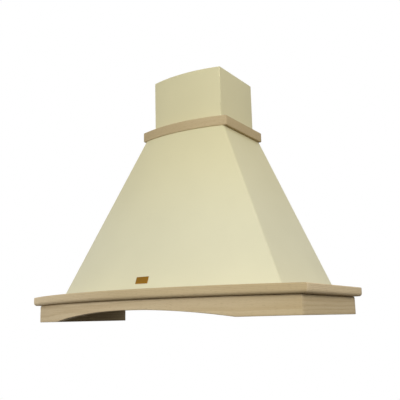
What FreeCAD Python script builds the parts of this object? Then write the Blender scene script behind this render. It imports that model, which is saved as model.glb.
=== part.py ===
# Country style wall chimney hood: bowed wooden base, painted canopy, sliding chimney and blower.
# Units are millimetres.  X runs along the wall, Y points into the wall, Z is up.
# The origin lies on the wall plane, midway between the two upper wall screws.
import FreeCAD, Part
import math
import os

V = FreeCAD.Vector
ALONG_X = V(1, 0, 0)
ALONG_Y = V(0, 1, 0)
UP = V(0, 0, 1)

# Wooden base: a cap moulding over a shallow apron
cap_width = 900.0
cap_side_depth = 406.0          # from the wall to the front corners
cap_bow = 130.0                 # how far the front swells past its corners
cap_thickness = 25.0
cap_board = 110.0               # width of the cap boards seen from above
cap_low_radius = 9.0
cap_high_radius = 4.0
apron_height = 50.0
apron_thickness = 20.0
apron_setback = 19.0            # cap overhang past the apron
apron_wall_gap = 10.0           # side boards stop short of the wall
apron_edge_radius = 2.0
arch_span = 579.0
arch_rise = 23.7
batten_depth = 22.0
dowel_radius = 4.0
dowel_length = 30.0
dowel_clearance = 0.1
dowel_pitch = 200.0
front_dowels = 4
side_dowels = 2
side_dowel_start = 100.0        # first side dowel, measured from the wall

# Painted sheet canopy
sheet = 1.2
canopy_height = 487.0
canopy_side_ledge = 83.0        # cap left showing beside the canopy
canopy_front_ledge = 80.0
canopy_top_width = 288.0
canopy_top_depth = 231.0
canopy_top_bow = 23.5
canopy_low_flange = 20.0
canopy_high_flange = 33.0
rear_sheet = 1.5

# Wooden band round the foot of the chimney
band_height = 31.0
band_side_overhang = 10.0
band_front_overhang = 3.0
band_edge_radius = 3.0
band_board = 42.0               # mitre depth, trimmed to the chimney
band_fit = 0.3

# Two-part chimney
chimney_side_ledge = 20.0       # canopy top beside the chimney, under the band
chimney_front_ledge = 23.5
chimney_bow = 18.5
chimney_height = 200.0
chimney_gap = 0.8
chimney_return = 15.0           # rear edge folded inwards
upper_drop = 2.0                # upper part below the rim of the lower part
vent_count = 5
vent_length = 70.0
vent_height = 6.0
vent_pitch = 12.0
vent_top_margin = 22.0
bracket_ear = 25.8              # from the bracket's wall strip out to the upper chimney
bracket_height = 25.0
bracket_sheet = 1.5
bracket_arm = 20.0
bracket_tab = 25.0
bracket_drop = 100.0            # bracket top below the top of the upper chimney
bracket_hole_radius = 3.5
bracket_hole_spacing = 140.0

# Blank brass plate low on the canopy front
badge_width = 40.0
badge_height = 19.0
badge_rise = 18.0
badge_thickness = 1.5

# Wall fixing through the rear panel
hanger_drop = 90.0              # upper wall screws below the top of the canopy
hanger_spacing = 240.0
hanger_hole_radius = 4.5
lower_fixing_rise = 67.0        # lower wall screws above the cap
lower_fixing_spacing = 520.0

# Underside liner and grease filters
liner_gap = 1.0
filter_side_margin = 26.0       # liner between the filter openings and the cap boards
filter_front_setback = 103.0    # filter fronts behind the front corners of the cap
filter_height = 10.0
filter_rail = 14.0
filter_gap = 2.0
filter_rear_gap = 3.0
filter_divider = 20.0
filter_wall_distance = 55.0
mesh_thickness = 3.0
mesh_lift = 3.0
mesh_columns = 15
mesh_rows = 16
mesh_strand = 3.0
tab_width = 25.0
tab_spacing = 160.0
tab_reach = 8.0
tab_thickness = 2.0
tab_clearance = 0.3
pull_wire_radius = 1.5
pull_clearance = 0.05
pull_width = 50.0
pull_drop = 14.0
pull_corner = 4.0
lug_width = 20.0
lug_depth = 8.0
lug_height = 5.0
clip_width = 20.0
clip_sheet = 0.8
clip_foot = 12.0
clip_rise = 6.0
clip_clearance = 0.5

# Lamps
lamp_spread = 400.0
lamp_margin = 9.0               # liner between a lamp and the front cap board
lamp_flange_radius = 33.0
lamp_flange_thickness = 2.0
lamp_window_radius = 20.0
lamp_barrel_radius = 27.0
lamp_barrel_wall = 2.0
lamp_barrel_height = 22.0
lamp_hole_clearance = 0.5
lens_thickness = 2.5
lens_clearance = 0.2
lamp_board_thickness = 4.0
lamp_core_radius = 10.0
lamp_fin_radius = 22.0
lamp_fin_thickness = 1.5
lamp_fin_pitch = 5.0
lamp_fins = 5

# Push-button control
control_margin = 10.0           # liner between the fascia and the front cap board
fascia_length = 180.0
fascia_depth = 40.0
fascia_thickness = 3.0
button_names = ["light_button", "off_button", "low_speed_button", "medium_speed_button", "high_speed_button"]
button_pitch = 30.0
button_length = 22.0
button_depth = 14.0
button_clearance = 0.3
button_proud = 3.5
button_travel = 2.5
button_rim = 1.2
button_rim_thickness = 1.5
button_stem_radius = 3.0
button_end_gap = 0.5
switch_wall = 3.0
switch_pocket = 10.0            # free height over the buttons
switch_height = 20.0
switch_end_margin = 4.0

# Blower: scroll housing, impeller and motor
bracket_reach = 36.0            # rear panel to blower housing
blower_bracket_sheet = 2.0
blower_bracket_foot = 24.0
blower_bracket_height = 60.0
blower_bracket_rise = 40.0
blower_bracket_spacing = 100.0
blower_axis_height = 215.0      # above the cap
housing_side_margin = 5.0       # housing sides outside the collar
housing_wall = 2.5
scroll_gap = 10.0               # impeller to the start of the scroll
scroll_growth = 20.0            # how far the scroll opens in its second quarter turn
outlet_neck = 50.0
inlet_step = 14.0               # inlet mouth inside the impeller's rim
inlet_lip = 4.0
inlet_lip_height = 6.0
impeller_radius = 80.0
impeller_ring_depth = 16.0      # radial depth of the end rings
blade_width = 14.4
blade_thickness = 1.2
blade_count = 40
blade_lean = 28.0
impeller_end_gap = 7.5          # impeller end to the housing wall
impeller_ring = 2.0
impeller_disc = 2.0
hub_radius = 14.0
hub_length = 24.0
shaft_radius = 4.0
shaft_seat = 12.0
shaft_clearance = 0.05
motor_radius = 45.0
motor_hub_gap = 3.0
spider_thickness = 3.0
spider_arm_width = 16.0
spider_disc_radius = 34.0
bush_lip_gap = 7.0              # bush to the lip of the inlet
bush_radius = 7.0
bush_height = 8.0
bush_count = 3
first_arm_angle = 90.0

# Outlet collar with two non-return flaps
collar_radius = 75.0
collar_wall = 2.0
collar_height = 45.0
collar_flange = 3.0
boss_radius = 5.0
boss_height = 15.0
damper_rise = 20.0              # pin above the flange
damper_pin_radius = 2.0
damper_pin_clearance = 0.05
damper_pin_recess = 0.5
flap_clearance = 1.0
flap_thickness = 1.5
flap_drop = 2.6                 # flap top below the pin axis
flap_relief = 5.0
knuckle_radius = 4.2
knuckle_length = 25.0
knuckle_gap = 5.0
seat_width = 5.0
seat_thickness = 2.0
seat_clearance = 0.3

# Electrical box, capacitor, gland and leads
box_side_gap = 19.0             # box to the leaning side panel, at the top of the box
box_length = 96.0
box_depth = 44.0
box_height = 70.0
box_wall = 2.0
box_lid = 2.0
capacitor_radius = 15.0
capacitor_length = 70.0
gland_radius = 9.0
gland_bore = 4.5
gland_nut_radius = 12.0
gland_nut_height = 5.0
nut_sides = 6
gland_height = 18.0
lead_radius = 2.5
lead_lift = 0.3
lead_bend = 25.0
bend_share = 0.45               # of the shorter run that a bend may use

# Screws
screw_radius = 2.0
screw_clearance = 0.1
screw_head_radius = 4.2
screw_head_height = 2.2
screw_length = 14.0
liner_screw_inset = 75.0
liner_screw_pitch = 220.0
side_screw_start = 110.0        # first side screw, measured from the wall

# Blower sizes that follow from the impeller and the collar
housing_half_width = collar_radius + housing_side_margin
impeller_half_length = housing_half_width - housing_wall - impeller_end_gap
scroll_first_radius = impeller_radius + scroll_gap
scroll_second_radius = scroll_first_radius + scroll_growth
scroll_third_radius = 2 * collar_radius - scroll_growth
inlet_radius = impeller_radius - inlet_step
bush_circle_radius = inlet_radius + inlet_lip + bush_lip_gap + bush_radius

# Heights
apron_bottom = hanger_drop - canopy_height - cap_thickness - apron_height
cap_bottom = apron_bottom + apron_height
cap_top = cap_bottom + cap_thickness
canopy_top = cap_top + canopy_height
band_top = canopy_top + band_height
chimney_top = canopy_top + chimney_height
upper_top = chimney_top - upper_drop
liner_bottom = cap_bottom - sheet
overrun = 20.0                  # how far cutting tools pass through what they cut
sweep_margin = 5.0              # degrees a bowed board turns past its corners before mitring

os.makedirs("parts", exist_ok=True)
shapes = {}


class Plan:
    # Outline seen from above: a straight back, two straight sides and a front that is one arc.
    def __init__(self, half_width, radius, centre_y, back_y=0.0):
        self.half_width = half_width
        self.radius = radius
        self.centre_y = centre_y
        self.back_y = back_y

    def front_y(self, x):
        return self.centre_y - math.sqrt(self.radius ** 2 - x ** 2)

    def corner_y(self):
        return self.front_y(self.half_width)

    def inset(self, side, front=None, back=0.0):
        front = side if front is None else front
        return Plan(self.half_width - side, self.radius - front, self.centre_y, self.back_y - back)

    def wire(self, z):
        w = self.half_width
        back_left = V(-w, self.back_y, z)
        back_right = V(w, self.back_y, z)
        front_right = V(w, self.corner_y(), z)
        front_left = V(-w, self.corner_y(), z)
        middle = V(0, self.front_y(0), z)
        return Part.Wire([
            Part.makeLine(back_left, back_right),
            Part.makeLine(back_right, front_right),
            Part.Arc(front_right, middle, front_left).toShape(),
            Part.makeLine(front_left, back_left),
        ])

    def prism(self, low, high):
        return Part.Face(self.wire(low)).extrude(V(0, 0, high - low))


def plan_of(width, side_depth, bow):
    half = width / 2
    radius = (half ** 2 + bow ** 2) / (2 * bow)
    return Plan(half, radius, radius - side_depth - bow)


def block(x0, x1, y0, y1, z0, z1):
    return Part.makeBox(x1 - x0, y1 - y0, z1 - z0, V(x0, y0, z0))


def rod(radius, start, direction, length):
    return Part.makeCylinder(radius, length, start, direction)


def ring(outer, inner, start, direction, length):
    return rod(outer, start, direction, length).cut(rod(inner, start, direction, length))


def joined(pieces):
    return pieces[0].multiFuse(pieces[1:]).removeSplitter()


def rounded_section(place, depth, low, high, low_radius, high_radius):
    # Board section: u runs inwards from the outer face, z upwards, with two rounded outer edges.
    near = 1 - math.sqrt(0.5)
    low_start = place(low_radius, low)
    low_end = place(0, low + low_radius)
    high_start = place(0, high - high_radius)
    high_end = place(high_radius, high)
    inner_low = place(depth, low)
    inner_high = place(depth, high)
    edges = [Part.makeLine(inner_low, low_start)]
    if low_radius > 0:
        low_middle = place(low_radius * near, low + low_radius * near)
        edges.append(Part.Arc(low_start, low_middle, low_end).toBSpline().toShape())
    edges.append(Part.makeLine(low_end, high_start))
    if high_radius > 0:
        high_middle = place(high_radius * near, high - high_radius * near)
        edges.append(Part.Arc(high_start, high_middle, high_end).toBSpline().toShape())
    edges.append(Part.makeLine(high_end, inner_high))
    edges.append(Part.makeLine(inner_high, inner_low))
    return Part.Face(Part.Wire(edges))


def mitre_wedge(outer, inner, low, high):
    # Everything in front of the two mitre planes that run from the inner to the outer corners.
    inner_corner = V(inner.half_width, inner.corner_y(), low)
    outer_corner = V(outer.half_width, outer.corner_y(), low)
    past = outer_corner + (outer_corner - inner_corner)
    far_y = outer.front_y(0) - overrun
    right = [inner_corner, past, V(past.x, far_y, low)]
    left = [V(-p.x, p.y, p.z) for p in reversed(right)]
    outline = right + left + right[:1]
    return Part.Face(Part.makePolygon(outline)).extrude(V(0, 0, high - low))


def frame_boards(outer, depth, low, high, low_radius, high_radius):
    # A bowed front board and two straight side boards, mitred at the front corners.
    axis_point = V(0, outer.centre_y, 0)
    half_sweep = math.degrees(math.asin(outer.half_width / outer.radius)) + sweep_margin
    front_section = rounded_section(
        lambda u, z: V(0, outer.front_y(0) + u, z), depth, low, high, low_radius, high_radius)
    front_section.rotate(axis_point, UP, -half_sweep)
    front = front_section.revolve(axis_point, UP, 2 * half_sweep)
    wedge = mitre_wedge(outer, outer.inset(depth), low, high)
    run = V(0, outer.corner_y() - outer.back_y - overrun, 0)
    sides = []
    for side in (-1, 1):
        section = rounded_section(
            lambda u, z: V(side * (outer.half_width - u), outer.back_y, z),
            depth, low, high, low_radius, high_radius)
        sides.append(section.extrude(run).cut(wedge))
    return front.common(wedge), sides[0], sides[1]


def screw(head_seat, direction, length):
    # Pan head below the seat and a plain shank that points along the direction.
    head_start = head_seat - direction * screw_head_height
    head = rod(screw_head_radius, head_start, direction, screw_head_height)
    return head.fuse(rod(screw_radius, head_seat, direction, length))


def drilled(shape, holes):
    return shape.cut(Part.makeCompound(holes)) if holes else shape


def lead(points, radius):
    # Round lead along straight runs; a bend narrows only where its shorter run leaves no room.
    edges = []
    start = points[0]
    for before, corner, after in zip(points, points[1:], points[2:]):
        to_before = before - corner
        to_after = after - corner
        half_angle = to_before.getAngle(to_after) / 2
        room = bend_share * min(to_before.Length, to_after.Length)
        bend = min(lead_bend, room * math.tan(half_angle))
        trim = bend / math.tan(half_angle)
        unit_before = to_before.normalize()
        unit_after = to_after.normalize()
        entry = corner + unit_before * trim
        leave = corner + unit_after * trim
        bisector = (unit_before + unit_after).normalize()
        crown = corner + bisector * (bend / math.sin(half_angle) - bend)
        edges.append(Part.makeLine(start, entry))
        edges.append(Part.Arc(entry, crown, leave).toShape())
        start = leave
        print("lead bend radius", round(bend, 1))
    edges.append(Part.makeLine(start, points[-1]))
    path = Part.Wire(edges)
    section = Part.Wire(Part.makeCircle(radius, points[0], points[1] - points[0]))
    return path.makePipeShell([section], True, True)


# Plans of the main outlines
cap_plan = plan_of(cap_width, cap_side_depth, cap_bow)
apron_plan = cap_plan.inset(apron_setback, back=apron_wall_gap)
canopy_low = cap_plan.inset(canopy_side_ledge, canopy_front_ledge)
canopy_high = plan_of(canopy_top_width, canopy_top_depth, canopy_top_bow)
band_plan = canopy_high.inset(-band_side_overhang, -band_front_overhang)
chimney_plan = plan_of(canopy_top_width - 2 * chimney_side_ledge, canopy_top_depth - chimney_front_ledge,
                       chimney_bow)
upper_inset = sheet + chimney_gap
upper_plan = chimney_plan.inset(upper_inset, back=upper_inset)

# Dowels between the apron and the cap
apron_middle = apron_plan.inset(apron_thickness / 2)
dowel_places = []
for index in range(front_dowels):
    x = (index - (front_dowels - 1) / 2) * dowel_pitch
    dowel_places.append(V(x, apron_middle.front_y(x), cap_bottom))
for index in range(side_dowels):
    y = -side_dowel_start - index * dowel_pitch
    dowel_places.append(V(-apron_middle.half_width, y, cap_bottom))
    dowel_places.append(V(apron_middle.half_width, y, cap_bottom))
half_dowel = V(0, 0, dowel_length / 2)
half_bore = V(0, 0, dowel_length / 2 + dowel_clearance)
dowels = [rod(dowel_radius, p - half_dowel, UP, dowel_length) for p in dowel_places]
dowel_bores = [rod(dowel_radius + dowel_clearance, p - half_bore, UP, 2 * half_bore.z) for p in dowel_places]
shapes["frame_dowels"] = Part.makeCompound(dowels)

# Screws that hold the liner up to the cap
screw_line = cap_plan.inset(liner_screw_inset)
liner_screw_places = []
for step in (-1, 0, 1):
    x = step * liner_screw_pitch
    liner_screw_places.append(V(x, screw_line.front_y(x), liner_bottom))
for step in (0, 1):
    y = -side_screw_start - step * liner_screw_pitch
    for side in (-1, 1):
        liner_screw_places.append(V(side * screw_line.half_width, y, liner_bottom))
liner_screws = [screw(p, UP, screw_length) for p in liner_screw_places]
liner_screw_bores = [rod(screw_radius + screw_clearance, p, UP, screw_length + screw_clearance)
                     for p in liner_screw_places]
shapes["liner_screws"] = Part.makeCompound(liner_screws)

# Wooden cap, apron and rear batten
cap_boards = frame_boards(cap_plan, cap_board, cap_bottom, cap_top, cap_low_radius, cap_high_radius)
apron_boards = frame_boards(apron_plan, apron_thickness, apron_bottom, cap_bottom, apron_edge_radius, 0.0)
for side, cap, apron in zip(("front", "left", "right"), cap_boards, apron_boards):
    shapes["cap_" + side] = drilled(cap, dowel_bores + liner_screw_bores)
    shapes["apron_" + side] = drilled(apron, dowel_bores)

arch_foot = arch_span / 2
arch_start = V(-arch_foot, 0, apron_bottom)
arch_crown = V(0, 0, apron_bottom + arch_rise)
arch_end = V(arch_foot, 0, apron_bottom)
arch_edges = [Part.Arc(arch_start, arch_crown, arch_end).toShape(), Part.makeLine(arch_end, arch_start)]
arch_reach = V(0, apron_plan.front_y(0) - overrun, 0)
arch_cut = Part.Face(Part.Wire(arch_edges)).extrude(arch_reach)
shapes["apron_front"] = shapes["apron_front"].cut(arch_cut)

batten_half = cap_plan.half_width - cap_board
shapes["rear_batten"] = block(-batten_half, batten_half, -batten_depth, 0, cap_bottom, cap_top)

# Painted canopy: front panel and two side panels with folded flanges
def tapered(low_plan, high_plan):
    return Part.makeLoft([low_plan.wire(cap_top), high_plan.wire(canopy_top)], True, True)


def side_slab(side):
    # Leaning slab, one sheet thick, that holds the flat wall on one side.
    low_x = canopy_low.half_width
    high_x = canopy_high.half_width
    corners = [(low_x, cap_top), (high_x, canopy_top), (high_x - sheet, canopy_top), (low_x - sheet, cap_top)]
    outline = [V(side * x, 0, z) for x, z in corners + corners[:1]]
    return Part.Face(Part.makePolygon(outline)).extrude(V(0, canopy_low.front_y(0), 0))


canopy_outside = tapered(canopy_low, canopy_high)
behind_front = tapered(canopy_low.inset(0, sheet), canopy_high.inset(0, sheet))
canopy_inside = behind_front.cut(side_slab(-1)).cut(side_slab(1))
low_slab = canopy_low.prism(cap_top, cap_top + sheet).common(canopy_inside)
low_hole = canopy_low.inset(canopy_low_flange).prism(cap_top, cap_top + sheet)
high_slab = canopy_low.prism(canopy_top - sheet, canopy_top).common(canopy_inside)
high_hole = canopy_high.inset(canopy_high_flange).prism(canopy_top - sheet, canopy_top)
flanges = low_slab.cut(low_hole).fuse(high_slab.cut(high_hole))
low_wedge = mitre_wedge(canopy_low, canopy_low.inset(canopy_low_flange), cap_top, cap_top + sheet)
high_wedge = mitre_wedge(canopy_high, canopy_high.inset(canopy_high_flange), canopy_top - sheet, canopy_top)
front_wedge = low_wedge.fuse(high_wedge)
shapes["canopy_front"] = joined([canopy_outside.cut(behind_front), flanges.common(front_wedge)])
for name, side in (("canopy_left", -1), ("canopy_right", 1)):
    half_room = block(min(0, side * cap_width), max(0, side * cap_width), canopy_low.front_y(0), 0,
                      cap_top, canopy_top)
    side_flanges = flanges.cut(front_wedge).common(half_room)
    shapes[name] = joined([behind_front.common(side_slab(side)), side_flanges])

# Rear panel with the wall screw holes
panel_low = canopy_low.half_width - sheet
panel_high = canopy_high.half_width - sheet
panel_corners = [V(-panel_low, 0, cap_top), V(panel_low, 0, cap_top),
                 V(panel_high, 0, canopy_top), V(-panel_high, 0, canopy_top)]
rear_panel = Part.Face(Part.makePolygon(panel_corners + panel_corners[:1])).extrude(ALONG_Y * -rear_sheet)
rear_panel = rear_panel.cut(shapes["canopy_left"]).cut(shapes["canopy_right"])
wall_holes = []
for half_spacing, z in ((hanger_spacing / 2, 0), (lower_fixing_spacing / 2, cap_top + lower_fixing_rise)):
    for side in (-1, 1):
        hole_start = V(side * half_spacing, -rear_sheet, z)
        wall_holes.append(rod(hanger_hole_radius, hole_start, ALONG_Y, rear_sheet))
shapes["rear_panel"] = drilled(rear_panel, wall_holes)

# Blank brass plate: a patch of the canopy's front skin, thickened forwards
badge_low = cap_top + badge_rise
front_skin = min(canopy_outside.Faces, key=lambda face: face.CenterOfMass.y)
badge_block = block(-badge_width / 2, badge_width / 2, canopy_low.front_y(0) - overrun,
                    canopy_high.front_y(0), badge_low, badge_low + badge_height)
shapes["badge_plate"] = front_skin.common(badge_block).Faces[0].extrude(ALONG_Y * -badge_thickness)

# Wooden band round the foot of the chimney
band_boards = frame_boards(band_plan, band_board, canopy_top, band_top, band_edge_radius, band_edge_radius)
band_core = chimney_plan.inset(-band_fit).prism(canopy_top, band_top)
for side, board in zip(("front", "left", "right"), band_boards):
    shapes["band_" + side] = board.cut(band_core)


# Chimney: each part is a folded sheet, open at the back with two returns
def chimney_part(plan, low, high):
    skin = plan.prism(low, high).cut(plan.inset(sheet).prism(low, high))
    inner = plan.half_width - sheet
    pieces = [skin]
    for side in (-1, 1):
        edges = sorted((side * inner, side * (inner - chimney_return)))
        pieces.append(block(edges[0], edges[1], plan.back_y - sheet, plan.back_y, low, high))
    return joined(pieces)


shapes["lower_chimney"] = chimney_part(chimney_plan, canopy_top, chimney_top)
vents = []
vent_middle = (upper_plan.back_y + upper_plan.corner_y()) / 2
for index in range(vent_count):
    z = upper_top - vent_top_margin - index * vent_pitch
    vents.append(block(-canopy_top_width, canopy_top_width, vent_middle - vent_length / 2,
                       vent_middle + vent_length / 2, z - vent_height, z))
shapes["upper_chimney"] = drilled(chimney_part(upper_plan, canopy_top, upper_top), vents)

# Wall bracket that the upper chimney is hooked on
bracket_high = upper_top - bracket_drop
bracket_low = bracket_high - bracket_height
bracket_side = upper_plan.half_width - sheet
bracket_half_span = bracket_side - bracket_ear
bracket_strips = [block(-bracket_half_span, bracket_half_span, -bracket_sheet, 0, bracket_low, bracket_high)]
bracket_holes = []
for side in (-1, 1):
    arm = sorted((side * (bracket_half_span - bracket_sheet), side * bracket_half_span))
    ear = sorted((side * (bracket_half_span - bracket_sheet), side * bracket_side))
    tab = sorted((side * (bracket_side - bracket_sheet), side * bracket_side))
    front = -bracket_arm - bracket_sheet
    bracket_strips.append(block(arm[0], arm[1], front, 0, bracket_low, bracket_high))
    bracket_strips.append(block(ear[0], ear[1], front, -bracket_arm, bracket_low, bracket_high))
    bracket_strips.append(block(tab[0], tab[1], front - bracket_tab, -bracket_arm, bracket_low, bracket_high))
    hole_start = V(side * bracket_hole_spacing / 2, -bracket_sheet, (bracket_low + bracket_high) / 2)
    bracket_holes.append(rod(bracket_hole_radius, hole_start, ALONG_Y, bracket_sheet))
shapes["chimney_bracket"] = drilled(joined(bracket_strips), bracket_holes)

# Underside liner with openings for the filters, lamps and buttons
cap_opening = cap_plan.inset(cap_board)
filter_inner_x = filter_divider / 2 + filter_gap
filter_width = cap_opening.half_width - filter_side_margin - filter_gap - filter_inner_x
filter_centre_x = filter_inner_x + filter_width / 2
filter_back = -filter_wall_distance
filter_front = filter_front_setback - cap_side_depth
filter_depth = filter_back - filter_front
opening_back = filter_back + filter_rear_gap
opening_front = filter_front - filter_gap
control_y = cap_opening.front_y(0) + control_margin + fascia_depth / 2
lamp_y = cap_opening.front_y(lamp_spread / 2) + lamp_margin + lamp_flange_radius
rim_length = button_length + 2 * button_rim
rim_depth = button_depth + 2 * button_rim
button_row = (len(button_names) - 1) * button_pitch
switch_half = button_row / 2 + rim_length / 2 + switch_end_margin
switch_half_depth = rim_depth / 2 + switch_wall
liner_plan = apron_plan.inset(apron_thickness + liner_gap)
liner_cuts = []
for side in (-1, 1):
    half = filter_width / 2 + filter_gap
    centre = side * filter_centre_x
    liner_cuts.append(block(centre - half, centre + half, opening_front, opening_back,
                            liner_bottom, cap_bottom))
    lamp_start = V(side * lamp_spread / 2, lamp_y, liner_bottom)
    liner_cuts.append(rod(lamp_barrel_radius + lamp_hole_clearance, lamp_start, UP, sheet))
liner_cuts.append(block(-switch_half, switch_half, control_y - rim_depth / 2 - button_clearance,
                        control_y + rim_depth / 2 + button_clearance, liner_bottom, cap_bottom))
shapes["liner_pan"] = drilled(liner_plan.prism(liner_bottom, cap_bottom), liner_cuts + liner_screw_bores)


# Grease filter: rail frame with rear tabs and a pull lug, an expanded mesh and a wire pull
def filter_frame(centre_x):
    half = filter_width / 2
    high = liner_bottom + filter_height
    frame = block(centre_x - half, centre_x + half, filter_front, filter_back, liner_bottom, high)
    frame = frame.cut(block(centre_x - half + filter_rail, centre_x + half - filter_rail,
                            filter_front + filter_rail, filter_back - filter_rail, liner_bottom, high))
    tab_low = cap_bottom + tab_clearance
    pieces = [frame]
    for side in (-0.5, 0.5):
        tab_x = centre_x + side * tab_spacing
        pieces.append(block(tab_x - tab_width / 2, tab_x + tab_width / 2, filter_back - filter_rail,
                            opening_back + tab_reach, tab_low, tab_low + tab_thickness))
    pieces.append(block(centre_x - lug_width / 2, centre_x + lug_width / 2, pull_y - lug_depth / 2,
                        pull_y + lug_depth / 2, liner_bottom - lug_height, liner_bottom))
    bore_start = V(centre_x - lug_width, pull_y, pull_z)
    bore = rod(pull_wire_radius + pull_clearance, bore_start, ALONG_X, 2 * lug_width)
    return joined(pieces).cut(bore)


def filter_mesh(centre_x):
    low = liner_bottom + mesh_lift
    left = centre_x - filter_width / 2 + filter_rail
    front = filter_front + filter_rail
    length = filter_width - 2 * filter_rail
    depth = filter_depth - 2 * filter_rail
    cell_x = length / mesh_columns
    cell_y = depth / mesh_rows
    half_x = (cell_x - mesh_strand) / 2
    half_y = (cell_y - mesh_strand) / 2
    outline = Part.makePolygon([V(left, front, low), V(left + length, front, low),
                                V(left + length, front + depth, low), V(left, front + depth, low),
                                V(left, front, low)])
    wires = [outline]
    for column in range(mesh_columns):
        for row in range(mesh_rows):
            x = left + (column + 0.5) * cell_x
            y = front + (row + 0.5) * cell_y
            diamond = [V(x - half_x, y, low), V(x, y + half_y, low), V(x + half_x, y, low),
                       V(x, y - half_y, low)]
            wires.append(Part.makePolygon(diamond + diamond[:1]))
    return Part.Face(wires, "Part::FaceMakerBullseye").extrude(V(0, 0, mesh_thickness))


def filter_pull(centre_x):
    # Closed wire loop: the top bar turns in the lug and the loop hangs below it.
    left = centre_x - pull_width / 2
    right = centre_x + pull_width / 2
    low = pull_z - pull_drop
    near = pull_corner * (1 - math.sqrt(0.5))
    corners = [(right, pull_z, -1, -1), (right, low, -1, 1), (left, low, 1, 1), (left, pull_z, 1, -1)]
    start = V(centre_x, pull_y, pull_z)
    edges = []
    at = start
    for index, (x, z, into_x, into_z) in enumerate(corners):
        along_x = V(x + into_x * pull_corner, pull_y, z)
        along_z = V(x, pull_y, z + into_z * pull_corner)
        middle = V(x + into_x * near, pull_y, z + into_z * near)
        first, last = (along_x, along_z) if index % 2 == 0 else (along_z, along_x)
        edges.append(Part.makeLine(at, first))
        edges.append(Part.Arc(first, middle, last).toShape())
        at = last
    edges.append(Part.makeLine(at, start))
    section = Part.Wire(Part.makeCircle(pull_wire_radius, start, ALONG_X))
    return Part.Wire(edges).makePipeShell([section], True, True)


pull_y = filter_front + filter_rail / 2
pull_z = liner_bottom - lug_height / 2
clips = []
for side_name, side in (("left", -1), ("right", 1)):
    centre = side * filter_centre_x
    shapes["filter_%s_frame" % side_name] = filter_frame(centre)
    shapes["filter_%s_mesh" % side_name] = filter_mesh(centre)
    shapes["filter_%s_pull" % side_name] = filter_pull(centre)
    for half in (-0.5, 0.5):
        left = centre + half * tab_spacing - clip_width / 2
        right = left + clip_width
        foot = block(left, right, opening_front - clip_foot, opening_front,
                     cap_bottom, cap_bottom + clip_sheet)
        riser = block(left, right, opening_front - clip_sheet, opening_front,
                      cap_bottom, cap_bottom + clip_rise)
        nose = block(left, right, opening_front - clip_sheet, filter_front - clip_clearance,
                     cap_bottom + clip_rise - clip_sheet, cap_bottom + clip_rise)
        clips.append(joined([foot, riser, nose]))
shapes["filter_clips"] = Part.makeCompound(clips)

# Lamps: bezel, lens and finned light module
for side_name, side in (("left", -1), ("right", 1)):
    foot = V(side * lamp_spread / 2, lamp_y, liner_bottom)
    barrel_bore = lamp_barrel_radius - lamp_barrel_wall
    flange = ring(lamp_flange_radius, lamp_window_radius, foot - UP * lamp_flange_thickness, UP,
                  lamp_flange_thickness)
    barrel = ring(lamp_barrel_radius, barrel_bore, foot, UP, lamp_barrel_height)
    shapes["lamp_%s_bezel" % side_name] = flange.fuse(barrel).removeSplitter()
    lens_radius = barrel_bore - lens_clearance
    shapes["lamp_%s_lens" % side_name] = rod(lens_radius, foot, UP, lens_thickness)
    board_start = foot + UP * lens_thickness
    fin_start = board_start + UP * lamp_board_thickness
    module = [rod(lens_radius, board_start, UP, lamp_board_thickness),
              rod(lamp_core_radius, fin_start, UP, lamp_fins * lamp_fin_pitch)]
    for index in range(lamp_fins):
        fin_foot = fin_start + UP * ((index + 1) * lamp_fin_pitch - lamp_fin_thickness)
        module.append(rod(lamp_fin_radius, fin_foot, UP, lamp_fin_thickness))
    shapes["lamp_%s_module" % side_name] = joined(module)

# Control: fascia under the liner, five push-buttons and the switch block over them
fascia_low = liner_bottom - fascia_thickness
fascia = block(-fascia_length / 2, fascia_length / 2, control_y - fascia_depth / 2,
               control_y + fascia_depth / 2, fascia_low, liner_bottom)
button_windows = []
stem_top = cap_bottom + switch_pocket - button_travel - button_end_gap
for index, name in enumerate(button_names):
    x = index * button_pitch - button_row / 2
    half_x = button_length / 2
    half_y = button_depth / 2
    button_windows.append(block(x - half_x, x + half_x, control_y - half_y, control_y + half_y,
                                fascia_low, liner_bottom))
    half_x -= button_clearance
    half_y -= button_clearance
    face = block(x - half_x, x + half_x, control_y - half_y, control_y + half_y,
                 fascia_low - button_proud, liner_bottom)
    rim = block(x - rim_length / 2, x + rim_length / 2, control_y - rim_depth / 2, control_y + rim_depth / 2,
                liner_bottom, liner_bottom + button_rim_thickness)
    stem_start = V(x, control_y, liner_bottom)
    shapes[name] = joined([face, rim, rod(button_stem_radius, stem_start, UP, stem_top - liner_bottom)])
shapes["control_fascia"] = drilled(fascia, button_windows)
switch_case = block(-switch_half - switch_wall, switch_half + switch_wall, control_y - switch_half_depth,
                    control_y + switch_half_depth, cap_bottom, cap_bottom + switch_height)
switch_room = block(-switch_half, switch_half, control_y - rim_depth / 2 - button_clearance,
                    control_y + rim_depth / 2 + button_clearance, cap_bottom, cap_bottom + switch_pocket)
shapes["switch_block"] = switch_case.cut(switch_room)

# Blower scroll: three arcs that open towards the rear, then a neck that rises to the outlet
scroll_rear = -rear_sheet - bracket_reach - housing_wall
scroll_low_y = scroll_rear - scroll_third_radius
axis_y = scroll_low_y + scroll_first_radius - scroll_second_radius
axis_z = cap_top + blower_axis_height
scroll_rear_z = axis_z - scroll_second_radius + scroll_third_radius
neck_top = axis_z + scroll_first_radius + outlet_neck
collar_y = (axis_y + scroll_rear) / 2
full_turn = 360.0
upper_front_turn = 135.0        # middles of the three quarter turns, from the rear over the top
lower_front_turn = 225.0
lower_rear_turn = 315.0


def polar(y, z, radius, degrees):
    angle = math.radians(degrees)
    return V(0, y + radius * math.cos(angle), z + radius * math.sin(angle))


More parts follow.
